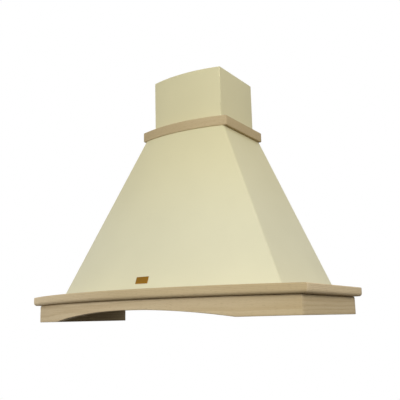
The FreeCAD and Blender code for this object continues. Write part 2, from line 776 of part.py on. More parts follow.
def scroll_prism(wall, x0, x1):
    first = scroll_first_radius + wall
    second = scroll_second_radius + wall
    third = scroll_third_radius + wall
    tongue = V(0, axis_y - wall, axis_z + math.sqrt(first ** 2 - wall ** 2))
    front = V(0, axis_y - first, axis_z)
    low = V(0, scroll_low_y, axis_z - second)
    rear = V(0, scroll_rear + wall, scroll_rear_z)
    rear_high = V(0, scroll_rear + wall, neck_top)
    front_high = V(0, axis_y - wall, neck_top)
    edges = [
        Part.Arc(tongue, polar(axis_y, axis_z, first, upper_front_turn), front).toShape(),
        Part.Arc(front, polar(scroll_low_y, axis_z, second, lower_front_turn), low).toShape(),
        Part.Arc(low, polar(scroll_low_y, scroll_rear_z, third, lower_rear_turn), rear).toShape(),
        Part.makeLine(rear, rear_high),
        Part.makeLine(rear_high, front_high),
        Part.makeLine(front_high, tongue),
    ]
    face = Part.Face(Part.Wire(edges))
    face.translate(V(x0, 0, 0))
    return face.extrude(V(x1 - x0, 0, 0))


boss_x = housing_half_width - housing_wall - boss_radius / 2
boss_half_y = (scroll_rear - axis_y) / 2 - boss_radius / 2
boss_places = [V(sx * boss_x, collar_y + sy * boss_half_y, neck_top) for sx in (-1, 1) for sy in (-1, 1)]
boss_bores = [rod(screw_radius + screw_clearance, p - UP * boss_height, UP, boss_height + collar_flange)
              for p in boss_places]


def housing_half(side):
    outside = sorted((0, side * housing_half_width))
    inside = sorted((0, side * (housing_half_width - housing_wall)))
    inlet = V(side * (housing_half_width + inlet_lip_height), axis_y, axis_z)
    inward = V(-side, 0, 0)
    pieces = [scroll_prism(housing_wall, outside[0], outside[1]).cut(scroll_prism(0, inside[0], inside[1]))]
    pieces.append(rod(inlet_radius + inlet_lip, inlet, inward, inlet_lip_height + housing_wall))
    shell_room = scroll_prism(housing_wall, outside[0], outside[1])
    for place in boss_places:
        if place.x * side > 0:
            pieces.append(rod(boss_radius, place - UP * boss_height, UP, boss_height).common(shell_room))
    shell = joined(pieces)
    shell = shell.cut(rod(inlet_radius, inlet, inward, inlet_lip_height + 2 * housing_wall))
    return drilled(shell, boss_bores)


shapes["blower_housing_left"] = housing_half(-1)
shapes["blower_housing_right"] = housing_half(1)

# Brackets between the rear panel and the blower housing
brackets = []
bracket_z0 = axis_z + blower_bracket_rise
bracket_z1 = bracket_z0 + blower_bracket_height
for side in (-0.5, 0.5):
    web_x = side * blower_bracket_spacing
    y_wall = -rear_sheet
    y_blower = y_wall - bracket_reach
    half_foot = blower_bracket_foot / 2
    half_web = blower_bracket_sheet / 2
    brackets.append(joined([
        block(web_x - half_foot, web_x + half_foot, y_wall - blower_bracket_sheet, y_wall,
              bracket_z0, bracket_z1),
        block(web_x - half_web, web_x + half_web, y_blower, y_wall, bracket_z0, bracket_z1),
        block(web_x - half_foot, web_x + half_foot, y_blower, y_blower + blower_bracket_sheet,
              bracket_z0, bracket_z1),
    ]))
shapes["blower_brackets"] = Part.makeCompound(brackets)

# Impeller: a drum of leaning blades on a centre disc, between two end rings
axis = V(0, axis_y, axis_z)
ring_inner = impeller_radius - impeller_ring_depth
drum = [
    rod(impeller_radius, axis - ALONG_X * impeller_disc / 2, ALONG_X, impeller_disc),
    rod(hub_radius, axis - ALONG_X * hub_length / 2, ALONG_X, hub_length),
]
for end in (-impeller_half_length, impeller_half_length - impeller_ring):
    drum.append(ring(impeller_radius, ring_inner, axis + ALONG_X * end, ALONG_X, impeller_ring))
blade_middle = (impeller_radius + ring_inner) / 2
for index in range(blade_count):
    blade = block(-impeller_half_length, impeller_half_length, -blade_width / 2, blade_width / 2,
                  -blade_thickness / 2, blade_thickness / 2)
    blade.rotate(V(0, 0, 0), ALONG_X, blade_lean)
    blade.translate(V(0, blade_middle, 0))
    blade.rotate(V(0, 0, 0), ALONG_X, full_turn * index / blade_count)
    blade.translate(axis)
    drum.append(blade)
shaft_bore = rod(shaft_radius, axis - ALONG_X * hub_length, ALONG_X, 2 * hub_length)
shapes["impeller"] = joined(drum).cut(shaft_bore)

# Motor on a three-armed spider with rubber bushes, on the right-hand inlet
motor_start = hub_length / 2 + motor_hub_gap
spider_x = housing_half_width + bush_height
motor_shell = rod(motor_radius, axis + ALONG_X * motor_start, ALONG_X, spider_x - motor_start)
motor_bore = rod(shaft_radius + shaft_clearance, axis + ALONG_X * motor_start, ALONG_X,
                 shaft_seat + shaft_clearance)
shapes["motor"] = motor_shell.cut(motor_bore)
shaft_start = axis - ALONG_X * hub_length / 2
shapes["motor_shaft"] = rod(shaft_radius, shaft_start, ALONG_X, hub_length / 2 + motor_start + shaft_seat)
bushes = []
spider = [rod(spider_disc_radius, axis + ALONG_X * spider_x, ALONG_X, spider_thickness)]
for index in range(bush_count):
    turn = full_turn * index / bush_count + first_arm_angle
    pad = polar(axis_y, axis_z, bush_circle_radius, turn)
    bushes.append(rod(bush_radius, pad + ALONG_X * housing_half_width, ALONG_X, bush_height))
    spider.append(rod(bush_radius, pad + ALONG_X * spider_x, ALONG_X, spider_thickness))
    arm = block(spider_x, spider_x + spider_thickness, 0, bush_circle_radius, -spider_arm_width / 2,
                spider_arm_width / 2)
    arm.rotate(V(0, 0, 0), ALONG_X, turn)
    arm.translate(axis)
    spider.append(arm)
shapes["motor_bushes"] = Part.makeCompound(bushes)
shapes["motor_spider"] = joined(spider)

# Outlet collar on the blower neck
collar_foot = V(0, collar_y, neck_top)
collar_bore = collar_radius - collar_wall
damper_z = neck_top + collar_flange + damper_rise
seat_top = damper_z - flap_drop - flap_thickness - seat_clearance
collar_plate = block(-housing_half_width, housing_half_width, axis_y - housing_wall,
                     scroll_rear + housing_wall, neck_top, neck_top + collar_flange)
collar = collar_plate.fuse(rod(collar_radius, collar_foot, UP, collar_flange + collar_height))
collar = collar.cut(rod(collar_bore, collar_foot, UP, collar_flange + collar_height))
seat_foot = V(0, collar_y, seat_top - seat_thickness)
seat = ring(collar_bore, collar_bore - seat_width, seat_foot, UP, seat_thickness)
collar = collar.fuse(seat).removeSplitter()
pin_hole = rod(damper_pin_radius + damper_pin_clearance, V(-collar_radius, collar_y, damper_z), ALONG_X,
               2 * collar_radius)
shapes["outlet_collar"] = drilled(collar, boss_bores + [pin_hole])
collar_screws = [screw(p + UP * collar_flange, -UP, boss_height) for p in boss_places]
shapes["collar_screws"] = Part.makeCompound(collar_screws)
pin_half = collar_radius - damper_pin_recess
shapes["damper_pin"] = rod(damper_pin_radius, V(-pin_half, collar_y, damper_z), ALONG_X, 2 * pin_half)


# Non-return flap: a half disc below the pin with two knuckles on it
def damper_flap(side, knuckle_starts):
    flap_radius = collar_bore - flap_clearance
    low = damper_z - flap_drop - flap_thickness
    disc = rod(flap_radius, V(0, collar_y, low), UP, flap_thickness)
    half = sorted((collar_y + side * flap_relief, collar_y + side * collar_radius))
    pieces = [disc.common(block(-collar_radius, collar_radius, half[0], half[1], low, low + flap_thickness))]
    for x in knuckle_starts:
        tongue = sorted((collar_y, collar_y + side * (flap_relief + flap_clearance)))
        pieces.append(block(x, x + knuckle_length, tongue[0], tongue[1], low, low + flap_thickness))
        pieces.append(rod(knuckle_radius, V(x, collar_y, damper_z), ALONG_X, knuckle_length))
    bore = rod(damper_pin_radius + damper_pin_clearance, V(-collar_radius, collar_y, damper_z), ALONG_X,
               2 * collar_radius)
    return joined(pieces).cut(bore)


knuckle_step = knuckle_length + knuckle_gap
first_knuckle = -2 * knuckle_step + knuckle_gap / 2
shapes["damper_flap_front"] = damper_flap(-1, [first_knuckle, first_knuckle + 2 * knuckle_step])
shapes["damper_flap_rear"] = damper_flap(1, [first_knuckle + knuckle_step, first_knuckle + 3 * knuckle_step])

# Electrical box on the rear panel, with its lid, capacitor and cable gland
box_share = (axis_z + box_height - cap_top) / canopy_height
box_wall_x = canopy_low.half_width + (canopy_high.half_width - canopy_low.half_width) * box_share
box_right = box_wall_x - sheet - box_side_gap
box_left = box_right - box_length
box_front = -rear_sheet - box_depth
box_case = block(box_left, box_right, box_front, -rear_sheet, axis_z, axis_z + box_height)
box_room = block(box_left + box_wall, box_right - box_wall, box_front, -rear_sheet - box_wall,
                 axis_z + box_wall, axis_z + box_height - box_wall)
gland_foot = V(box_left + box_length / 2, -rear_sheet - box_depth / 2, axis_z + box_height)
gland_hole = rod(gland_bore, gland_foot - UP * box_wall, UP, box_wall)
shapes["electrical_box"] = box_case.cut(box_room).cut(gland_hole)
shapes["electrical_box_lid"] = block(box_left, box_right, box_front - box_lid, box_front,
                                     axis_z, axis_z + box_height)
capacitor_start = V(gland_foot.x - capacitor_length / 2, -rear_sheet - box_wall - capacitor_radius,
                    axis_z + box_wall + capacitor_radius)
shapes["capacitor"] = rod(capacitor_radius, capacitor_start, ALONG_X, capacitor_length)
hexagon = []
for corner in range(nut_sides + 1):
    angle = corner * 2 * math.pi / nut_sides
    hexagon.append(gland_foot + V(math.cos(angle), math.sin(angle), 0) * gland_nut_radius)
nut = Part.Face(Part.makePolygon(hexagon)).extrude(UP * gland_nut_height)
gland = nut.fuse(rod(gland_radius, gland_foot, UP, gland_height)).removeSplitter()
shapes["cable_gland"] = gland.cut(rod(gland_bore, gland_foot, UP, gland_height))

# Fixed leads inside: box to motor, box to switch block, switch block to each lamp
lead_z = cap_bottom + lead_lift + lead_radius
lead_y = -batten_depth - lead_lift - lead_radius
switch_rear = control_y + switch_half_depth
switch_end = switch_half + switch_wall
motor_lead_z = axis_z + motor_radius / 2
motor_face = spider_x + spider_thickness
leads = [
    lead([V(gland_foot.x, lead_y, axis_z), V(gland_foot.x, lead_y, lead_z), V(0, lead_y, lead_z),
          V(0, switch_rear, lead_z)], lead_radius),
    lead([V(gland_foot.x, box_front - box_lid, motor_lead_z), V(gland_foot.x, axis_y, motor_lead_z),
          V(motor_face, axis_y, motor_lead_z)], lead_radius),
]
for side in (-1, 1):
    barrel_x = side * (lamp_spread / 2 - lamp_barrel_radius)
    third = (barrel_x - side * switch_end) / 3
    lamp_lead_z = cap_bottom + switch_pocket
    leads.append(lead([V(side * switch_end, control_y, lamp_lead_z),
                       V(side * switch_end + third, control_y, lamp_lead_z),
                       V(side * switch_end + 2 * third, lamp_y, lamp_lead_z),
                       V(barrel_x, lamp_y, lamp_lead_z)], lead_radius))
shapes["inner_leads"] = Part.makeCompound(leads)

for name, shape in shapes.items():
    print(name, "solids", len(shape.Solids), "valid", shape.isValid(), "volume mm3", round(shape.Volume))
    shape.exportStep("parts/%s.step" % name)
print(len(shapes), "parts")
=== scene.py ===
import bmesh
import bpy
import math
import numpy as np
from mathutils import Matrix, Vector


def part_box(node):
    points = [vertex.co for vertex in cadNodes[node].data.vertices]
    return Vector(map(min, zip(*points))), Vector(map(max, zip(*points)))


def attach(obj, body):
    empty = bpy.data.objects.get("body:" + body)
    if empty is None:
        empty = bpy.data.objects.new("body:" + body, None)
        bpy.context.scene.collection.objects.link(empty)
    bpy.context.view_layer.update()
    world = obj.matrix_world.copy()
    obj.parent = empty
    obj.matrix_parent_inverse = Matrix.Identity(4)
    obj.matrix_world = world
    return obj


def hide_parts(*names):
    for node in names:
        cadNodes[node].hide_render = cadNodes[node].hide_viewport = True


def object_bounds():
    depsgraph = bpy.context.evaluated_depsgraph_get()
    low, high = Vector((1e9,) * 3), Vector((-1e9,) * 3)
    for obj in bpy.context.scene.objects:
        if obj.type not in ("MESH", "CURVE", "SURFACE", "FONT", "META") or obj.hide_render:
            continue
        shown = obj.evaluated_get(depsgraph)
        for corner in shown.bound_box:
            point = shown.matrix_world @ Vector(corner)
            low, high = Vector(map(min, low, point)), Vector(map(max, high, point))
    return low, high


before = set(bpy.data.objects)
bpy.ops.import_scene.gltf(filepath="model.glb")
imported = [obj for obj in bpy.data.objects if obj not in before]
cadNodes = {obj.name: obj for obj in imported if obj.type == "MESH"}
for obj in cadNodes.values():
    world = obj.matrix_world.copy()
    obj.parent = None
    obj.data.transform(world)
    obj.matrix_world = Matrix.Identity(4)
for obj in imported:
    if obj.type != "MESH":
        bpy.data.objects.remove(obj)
cadLow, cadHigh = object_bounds()
print("frame loaded:", len(cadNodes), "nodes")


# Mesh helpers

def gridFaces(rows, cols, wrapRows=False, wrapCols=False):
    # quads of a rows x cols grid whose points are numbered row by row
    i, j = np.meshgrid(np.arange(rows - (not wrapRows)), np.arange(cols - (not wrapCols)), indexing="ij")
    nextI = (i + 1) % rows
    nextJ = (j + 1) % cols
    quads = np.stack([i * cols + j, i * cols + nextJ, nextI * cols + nextJ, nextI * cols + j], -1)
    return quads.reshape(-1, 4)


def shellOf(points, faces, coords=None, tone=0.5):
    # one surface: its points and faces and, on wood, each point's place in its board and the board's tone,
    # which is partly painted light
    points = np.asarray(points, float).reshape(-1, 3)
    return {"points": points, "faces": faces, "coords": coords, "tone": tone}


def boardLayers(mesh, shells):
    # the grain follows each board, so its points carry their place along, across and up the board
    tones = [np.broadcast_to(shell["tone"], shell["coords"].shape[:-1]).ravel() for shell in shells]
    layer = mesh.attributes.new("boardCoord", "FLOAT_VECTOR", "POINT")
    layer.data.foreach_set("vector", np.concatenate([shell["coords"].ravel() for shell in shells]))
    layer = mesh.attributes.new("boardToneAndPaintedLight", "FLOAT", "POINT")
    layer.data.foreach_set("value", np.concatenate(tones))


def sharpenRim(mesh):
    # an edge that only one face uses is a sheet's rim, and stays crisp when the sheet gets its thickness
    used = np.empty(len(mesh.loops), int)
    mesh.loops.foreach_get("edge_index", used)
    rim = np.bincount(used, minlength=len(mesh.edges)) == 1
    sharp = np.empty(len(mesh.edges), bool)
    mesh.edges.foreach_get("use_edge_sharp", sharp)
    mesh.edges.foreach_set("use_edge_sharp", sharp | rim)


mergeDistance = 1e-7  # closes poles and seams only


def addPiece(name, shells, material, body="hood", replaced=(), sharp=38, solid=True):
    # joins shells into one mesh, closes its poles and turns the faces of a solid outwards
    points = np.concatenate([shell["points"] for shell in shells])
    faces = []
    start = 0
    for shell in shells:
        for block in shell["faces"]:
            faces.extend((np.asarray(block) + start).tolist())
        start += len(shell["points"])
    mesh = bpy.data.meshes.new(name)
    mesh.from_pydata(points.tolist(), [], faces)
    if shells[0]["coords"] is not None:
        boardLayers(mesh, shells)
    work = bmesh.new()
    work.from_mesh(mesh)
    bmesh.ops.remove_doubles(work, verts=work.verts, dist=mergeDistance)
    if solid:
        bmesh.ops.recalc_face_normals(work, faces=work.faces)
    work.to_mesh(mesh)
    work.free()
    mesh.shade_smooth()
    mesh.set_sharp_from_angle(angle=math.radians(sharp))
    if not solid:
        sharpenRim(mesh)
    piece = bpy.data.objects.new(name, mesh)
    bpy.context.scene.collection.objects.link(piece)
    mesh.materials.append(material)
    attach(piece, body)
    if replaced:
        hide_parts(*replaced)
    return piece


def thicken(piece, thickness):
    # a sheet's wall grows inwards from its outer face
    skin = piece.modifiers.new("sheet", "SOLIDIFY")
    skin.thickness = thickness
    skin.offset = -1
    skin.use_even_offset = True


def facingOut(points, faces, centre):
    # reverses a whole patch of quads if its faces, weighed by area, look towards the centre
    a, b, c, d = (points[faces[:, k]] for k in range(4))
    normal = np.cross(c - a, d - b)
    outward = ((a + b + c + d) / 4 - centre) * normal
    return faces if outward.sum() > 0 else faces[:, ::-1]


def lathe(profile, centre, steps=64):
    # a profile of (radius, height) points turned round the upright line through the centre
    profile = np.asarray(profile, float)
    turn = np.linspace(0, 2 * np.pi, steps, endpoint=False)
    radius, height = profile[:, 0][:, None], profile[:, 1][:, None]
    rings = np.stack([radius * np.cos(turn), radius * np.sin(turn), np.repeat(height, steps, 1)], -1)
    return shellOf(rings + np.asarray(centre), [gridFaces(len(profile), steps, wrapCols=True)])


def roundedBox(low, high, radius, steps=5):
    # every direction of a ball is pushed out to the nearest of eight corner balls
    low = np.asarray(low, float)
    high = np.asarray(high, float)
    quarter = np.linspace(0, np.pi / 2, steps + 1)
    across = np.concatenate([quarter + k * np.pi / 2 for k in range(4)])
    up = np.concatenate([quarter - np.pi / 2, quarter])
    side = np.repeat([[1, 1], [-1, 1], [-1, -1], [1, -1]], steps + 1, 0)
    top = np.repeat([-1, 1], steps + 1)
    half = (high - low) / 2 - radius
    x = half[0] * side[:, 0] + radius * np.outer(np.cos(up), np.cos(across))
    y = half[1] * side[:, 1] + radius * np.outer(np.cos(up), np.sin(across))
    z = (half[2] * top + radius * np.sin(up))[:, None] + np.zeros_like(x)
    points = np.stack([x, y, z], -1) + (low + high) / 2
    rows, cols = x.shape
    caps = [np.arange(cols)[None], (rows - 1) * cols + np.arange(cols)[None]]
    return shellOf(points, [gridFaces(rows, cols, wrapCols=True)] + caps)


def tubeAlong(path, radius, closed=False, sides=14):
    # circle carried along a flat path: at each point it is spanned by the normal of the path's plane
    # and by that normal's cross product with the path's own direction
    path = np.asarray(path, float)
    ahead = np.roll(path, -1, 0) - np.roll(path, 1, 0)
    if not closed:
        ahead[0] = path[1] - path[0]
        ahead[-1] = path[-1] - path[-2]
    ahead /= np.linalg.norm(ahead, axis=1)[:, None]
    spread = np.linalg.svd(path - path.mean(0))[2][2]
    second = np.cross(ahead, spread)
    turn = np.linspace(0, 2 * np.pi, sides, endpoint=False)
    rings = (np.cos(turn)[None, :, None] * spread + np.sin(turn)[None, :, None] * second[:, None]) * radius
    faces = [gridFaces(len(path), sides, wrapRows=closed, wrapCols=True)]
    if not closed:
        faces += [np.arange(sides)[None], (len(path) - 1) * sides + np.arange(sides)[None]]
    return shellOf(path[:, None] + rings, faces)


# Shader helpers and shared effects

def feed(tree, socket, value):
    # links a socket, or writes a plain value on it
    if isinstance(value, bpy.types.NodeSocket):
        tree.links.new(value, socket)
    elif value is not None:
        socket.default_value = value


def maths(tree, operation, a, b=None, clamp=False):
    # one sum on numbers; each input is a socket or a plain value
    made = tree.nodes.new("ShaderNodeMath")
    made.operation = operation
    made.use_clamp = clamp
    feed(tree, made.inputs[0], a)
    feed(tree, made.inputs[1], b)
    return made.outputs[0]


def vectors(tree, operation, a, b=None):
    # one sum on vectors; a length comes out as a number
    made = tree.nodes.new("ShaderNodeVectorMath")
    made.operation = operation
    feed(tree, made.inputs[0], a)
    feed(tree, made.inputs[1], b)
    return made.outputs["Value"] if operation == "LENGTH" else made.outputs["Vector"]


def noise(tree, vector, scale=1.0, detail=2.0, roughness=0.5):
    # soft random pattern of 0 to 1 over a vector
    made = tree.nodes.new("ShaderNodeTexNoise")
    feed(tree, made.inputs["Vector"], vector)
    feed(tree, made.inputs["Scale"], scale)
    made.inputs["Detail"].default_value = detail
    made.inputs["Roughness"].default_value = roughness
    return made.outputs["Fac"]


def cells(tree, vector, scale):
    # one random colour for each cell of a broken pattern
    made = tree.nodes.new("ShaderNodeTexVoronoi")
    feed(tree, made.inputs["Vector"], vector)
    feed(tree, made.inputs["Scale"], scale)
    return made.outputs["Color"]


def ramp(tree, value, low, high, toLow=0.0, toHigh=1.0):
    # smooth step from one value to another
    made = tree.nodes.new("ShaderNodeMapRange")
    made.interpolation_type = "SMOOTHSTEP"
    for label, number in (("Value", value), ("From Min", low), ("From Max", high),
                          ("To Min", toLow), ("To Max", toHigh)):
        feed(tree, made.inputs[label], number)
    return made.outputs["Result"]


def mixed(tree, share, first, second):
    # blend of two colours; 6, 7 and 2 are the node's colour sockets
    made = tree.nodes.new("ShaderNodeMix")
    made.data_type = "RGBA"
    feed(tree, made.inputs[0], share)
    feed(tree, made.inputs[6], first)
    feed(tree, made.inputs[7], second)
    return made.outputs[2]


def effect(name, inputs, outputs):
    # empty node group with named sockets
    group = bpy.data.node_groups.new(name, "ShaderNodeTree")
    for label, kind, value in inputs:
        socket = group.interface.new_socket(label, in_out="INPUT", socket_type="NodeSocket" + kind)
        if value is not None:
            socket.default_value = value
    for label in outputs:
        group.interface.new_socket(label, in_out="OUTPUT", socket_type="NodeSocketFloat")
    return group, group.nodes.new("NodeGroupInput").outputs, group.nodes.new("NodeGroupOutput").inputs


woodGrain = {"slow": (1.3, 7, 7), "wave": (7, 40, 40), "fibre": (11, 520, 520), "pore": (70, 1700, 1700),
             "drift": (2.2, 16, 16)}  # stretch along, across and up the board
# late wood darkens over the rise and ends over the fall, as shares of a ring; pores are the peaks of a noise
woodSteps = {"rise": (0.25, 0.88), "fall": (0.9, 1.0), "pores": (0.6, 0.74)}


def woodFigureEffect():
    # growth rings are distances from a far pith line that wanders along the board, plus fibres and pores
    group, give, take = effect("woodFigure", [("Coord", "Vector", None), ("Pith", "Vector", (0, 0.05, 0.14)),
                                              ("Ring", "Float", 0.004), ("Wander", "Float", 0.012)],
                               ["Late", "Fibre", "Pore", "Drift"])
    coord = give["Coord"]
    slow, wave, fibre, dashes, drift = (
        noise(group, vectors(group, "MULTIPLY", coord, woodGrain[key]), detail=detail)
        for key, detail in (("slow", 3), ("wave", 2), ("fibre", 3), ("pore", 1), ("drift", 2)))
    flat = vectors(group, "MULTIPLY", vectors(group, "ADD", coord, give["Pith"]), (0, 1, 1))
    sway = maths(group, "MULTIPLY", maths(group, "SUBTRACT", slow, 0.5), give["Wander"])
    half = maths(group, "MULTIPLY", give["Ring"], 0.5)
    ripple = maths(group, "MULTIPLY", maths(group, "SUBTRACT", wave, 0.5), half)
    reach = maths(group, "ADD", vectors(group, "LENGTH", flat), maths(group, "ADD", sway, ripple))
    phase = maths(group, "FRACT", maths(group, "DIVIDE", reach, give["Ring"]))
    rise = ramp(group, phase, *woodSteps["rise"])
    fall = ramp(group, phase, *woodSteps["fall"], 1.0, 0.0)
    feed(group, take["Late"], maths(group, "MULTIPLY", rise, fall))
    feed(group, take["Fibre"], fibre)
    feed(group, take["Pore"], ramp(group, dashes, *woodSteps["pores"]))
    feed(group, take["Drift"], drift)
    return group


effectScales = {"cloud": 5.0, "nib": 900.0, "smear": 14.0, "tone": 22.0}
nibSteps = (0.78, 0.86)  # only the peaks of the noise are nibs


def sprayCoatEffect():
    # orange peel of a sprayed coat, slow clouding and sparse nibs
    group, give, take = effect("sprayCoat", [("Coord", "Vector", None), ("Peel Scale", "Float", 420.0)],
                               ["Peel", "Cloud", "Nib"])
    feed(group, take["Peel"], noise(group, give["Coord"], give["Peel Scale"], detail=1.5))
    feed(group, take["Cloud"], noise(group, give["Coord"], effectScales["cloud"], detail=3))
    spots = noise(group, give["Coord"], effectScales["nib"], detail=0)
    feed(group, take["Nib"], ramp(group, spots, *nibSteps))
    return group


def brushedLinesEffect():
    # long scratches along the direction with the smallest stretch, with slow smears over them
    group, give, take = effect("brushedLines",
                               [("Coord", "Vector", None), ("Stretch", "Vector", (6, 900, 900))],
                               ["Line", "Smear"])
    drawn = vectors(group, "MULTIPLY", give["Coord"], give["Stretch"])
    feed(group, take["Line"], noise(group, drawn, detail=3, roughness=0.65))
    feed(group, take["Smear"], noise(group, give["Coord"], effectScales["smear"], detail=3))
    return group


def mouldGrainEffect():
    # spark-eroded mould grain and the slow tone of a moulded wall
    group, give, take = effect("mouldGrain", [("Coord", "Vector", None), ("Grain Scale", "Float", 1400.0)],
                               ["Grain", "Tone"])
    feed(group, take["Grain"], noise(group, give["Coord"], give["Grain Scale"], detail=2))
    feed(group, take["Tone"], noise(group, give["Coord"], effectScales["tone"], detail=3))
    return group


effects = {"wood": woodFigureEffect(), "spray": sprayCoatEffect(), "brushed": brushedLinesEffect(),
           "mould": mouldGrainEffect()}


def startMaterial(name, group, attribute=None, **values):
    # material with one shared effect on the piece's own coordinates
    made = bpy.data.materials.new(name)
    made.use_nodes = True
    tree = made.node_tree
    if attribute:
        source = tree.nodes.new("ShaderNodeAttribute")
        source.attribute_name = attribute
        coord = source.outputs["Vector"]
    else:
        coord = tree.nodes.new("ShaderNodeTexCoord").outputs["Object"]
    use = tree.nodes.new("ShaderNodeGroup")
    use.node_tree = effects[group]
    feed(tree, use.inputs["Coord"], coord)
    for label, value in values.items():
        feed(tree, use.inputs[label.replace("_", " ")], value)
    return made, tree, tree.nodes["Principled BSDF"], use.outputs, coord


def addBump(tree, shader, height, depth, strength):
    # fine relief of the finish
    bump = tree.nodes.new("ShaderNodeBump")
    bump.inputs["Strength"].default_value = strength
    bump.inputs["Distance"].default_value = depth
    feed(tree, bump.inputs["Height"], height)
    feed(tree, shader.inputs["Normal"], bump.outputs["Normal"])


def linear(colour, share=1.0):
    # display colour of 0 to 255, times a share, as linear light
    shown = np.array(colour) * share / 255
    light = np.where(shown <= 0.04045, shown / 12.92, ((shown + 0.055) / 1.055) ** 2.4)
    return (*light.tolist(), 1.0)


def weighed(tree, value, weight, less=0.0):
    # (value - less) * weight
    return maths(tree, "MULTIPLY", maths(tree, "SUBTRACT", value, less) if less else value, weight)


woodLook = {"drift": 0.36, "rings": 0.28, "fibres": 0.55, "fibreFrom": 0.42, "pores": 0.5,
            "poreShade": 0.72, "rough": 0.6, "fibreRough": 0.2, "shine": 0.1, "fibreHeight": 0.6,
            "depth": 0.0002, "bump": 0.35}


def woodMaterial(name, attribute, warm, pale, deep, ring=0.004, wander=0.012, pith=(0, 0.05, 0.14)):
    # board tone, partly the wood's own and partly painted light, plus slow drift from warm to pale, then
    # rings, fibres and pores towards the deep colour
    made, tree, shader, out, coord = startMaterial(name, "wood", attribute, Ring=ring, Wander=wander,
                                                   Pith=pith)
    # the board tone carries painted light as well as the wood's own tone
    tone = tree.nodes.new("ShaderNodeAttribute")
    tone.attribute_name = "boardToneAndPaintedLight"
    drift = maths(tree, "ADD", tone.outputs["Fac"], weighed(tree, out["Drift"], woodLook["drift"], less=0.5))
    ground = mixed(tree, drift, linear(warm), linear(pale))
    rings = weighed(tree, out["Late"], woodLook["rings"])
    fibres = weighed(tree, out["Fibre"], woodLook["fibres"], less=woodLook["fibreFrom"])
    grained = mixed(tree, maths(tree, "ADD", rings, fibres, clamp=True), ground, linear(deep))
    pores = weighed(tree, out["Pore"], woodLook["pores"])
    feed(tree, shader.inputs["Base Color"], mixed(tree, pores, grained, linear(deep, woodLook["poreShade"])))
    rough = maths(tree, "ADD", weighed(tree, out["Fibre"], woodLook["fibreRough"]), woodLook["rough"])
    feed(tree, shader.inputs["Roughness"], rough)
    shader.inputs["Specular IOR Level"].default_value = woodLook["shine"]
    height = maths(tree, "SUBTRACT", weighed(tree, out["Fibre"], woodLook["fibreHeight"]), out["Pore"])
    addBump(tree, shader, height, woodLook["depth"], woodLook["bump"])
    return made


paintLook = {"clouds": (0.3, 0.7), "cloudShade": 0.986, "nibShade": 0.9, "rough": 0.46, "cloudRough": 0.1,
             "shine": 0.3, "depth": 0.00012, "bump": 0.3}


def paintMaterial(name, foot, top, low, high):
    # sprayed coat with clouds and nibs; from one height to another its colour turns a little warmer, which is
    # painted warm light from above
    made, tree, shader, out, coord = startMaterial(name, "spray")
    place = tree.nodes.new("ShaderNodeSeparateXYZ")
    feed(tree, place.inputs["Vector"], coord)
    # painted warm light: the coat's colour warms from the low height to the high one
    paintedWarmLight = ramp(tree, place.outputs["Z"], low, high)
    coat, cloud, nib = (mixed(tree, paintedWarmLight, linear(foot, share), linear(top, share))
                        for share in (1.0, paintLook["cloudShade"], paintLook["nibShade"]))
    clouded = mixed(tree, ramp(tree, out["Cloud"], *paintLook["clouds"]), coat, cloud)
    feed(tree, shader.inputs["Base Color"], mixed(tree, out["Nib"], clouded, nib))
    rough = maths(tree, "ADD", weighed(tree, out["Cloud"], paintLook["cloudRough"]), paintLook["rough"])
    feed(tree, shader.inputs["Roughness"], rough)
    shader.inputs["Specular IOR Level"].default_value = paintLook["shine"]
    addBump(tree, shader, out["Peel"], paintLook["depth"], paintLook["bump"])
    return made


metalLook = {"smears": (0.35, 0.75), "lines": 0.35, "lineShade": 0.82, "flakes": 0.4, "flakeShade": 0.7,
             "lineRough": 0.16, "smearRough": 0.1, "depth": 0.00004, "bump": 0.3}


def metalMaterial(name, colour, rough, stretch=(6, 900, 900), stain=0.9, spangle=0.0):
    # brushed lines over slow smears; spangle sets the scale of zinc flakes that take the place of the smears
    made, tree, shader, out, coord = startMaterial(name, "brushed", Stretch=stretch)
    smear = ramp(tree, out["Smear"], *metalLook["smears"])
    toned = mixed(tree, smear, linear(colour), linear(colour, stain))
    lines = weighed(tree, out["Line"], metalLook["lines"])
    shown = mixed(tree, lines, toned, linear(colour, metalLook["lineShade"]))
    if spangle:
        flakes = tree.nodes.new("ShaderNodeSeparateColor")
        feed(tree, flakes.inputs["Color"], cells(tree, coord, spangle))
        tone = weighed(tree, flakes.outputs["Red"], metalLook["flakes"])
        shown = mixed(tree, tone, shown, linear(colour, metalLook["flakeShade"]))
        smear = flakes.outputs["Green"]
    feed(tree, shader.inputs["Base Color"], shown)
    shader.inputs["Metallic"].default_value = 1.0
    spread = maths(tree, "ADD", weighed(tree, out["Line"], metalLook["lineRough"]),
                   weighed(tree, smear, metalLook["smearRough"]))
    feed(tree, shader.inputs["Roughness"], maths(tree, "ADD", spread, rough))
    addBump(tree, shader, out["Line"], metalLook["depth"], metalLook["bump"])
    return made


plasticLook = {"tones": (0.3, 0.7), "toneShade": 0.9, "toneRough": 0.12, "grainRough": 0.08, "bump": 0.35}


def plasticMaterial(name, colour, rough, grain=1400.0, depth=0.00005, shine=0.45):
    # moulded wall: slow tone and fine mould grain
    made, tree, shader, out, coord = startMaterial(name, "mould", Grain_Scale=grain)
    tone = ramp(tree, out["Tone"], *plasticLook["tones"])
    feed(tree, shader.inputs["Base Color"],
         mixed(tree, tone, linear(colour), linear(colour, plasticLook["toneShade"])))
    spread = maths(tree, "ADD", weighed(tree, out["Tone"], plasticLook["toneRough"]),
                   weighed(tree, out["Grain"], plasticLook["grainRough"]))
    feed(tree, shader.inputs["Roughness"], maths(tree, "ADD", spread, rough))
    shader.inputs["Specular IOR Level"].default_value = shine
    addBump(tree, shader, out["Grain"], depth, plasticLook["bump"])
    return made


glassLook = {"frost": 700.0, "frostShade": 0.95, "frostRough": 0.1, "through": 0.3, "shine": 1.0,
             "bend": 1.5, "depth": 0.0001, "bump": 0.3}


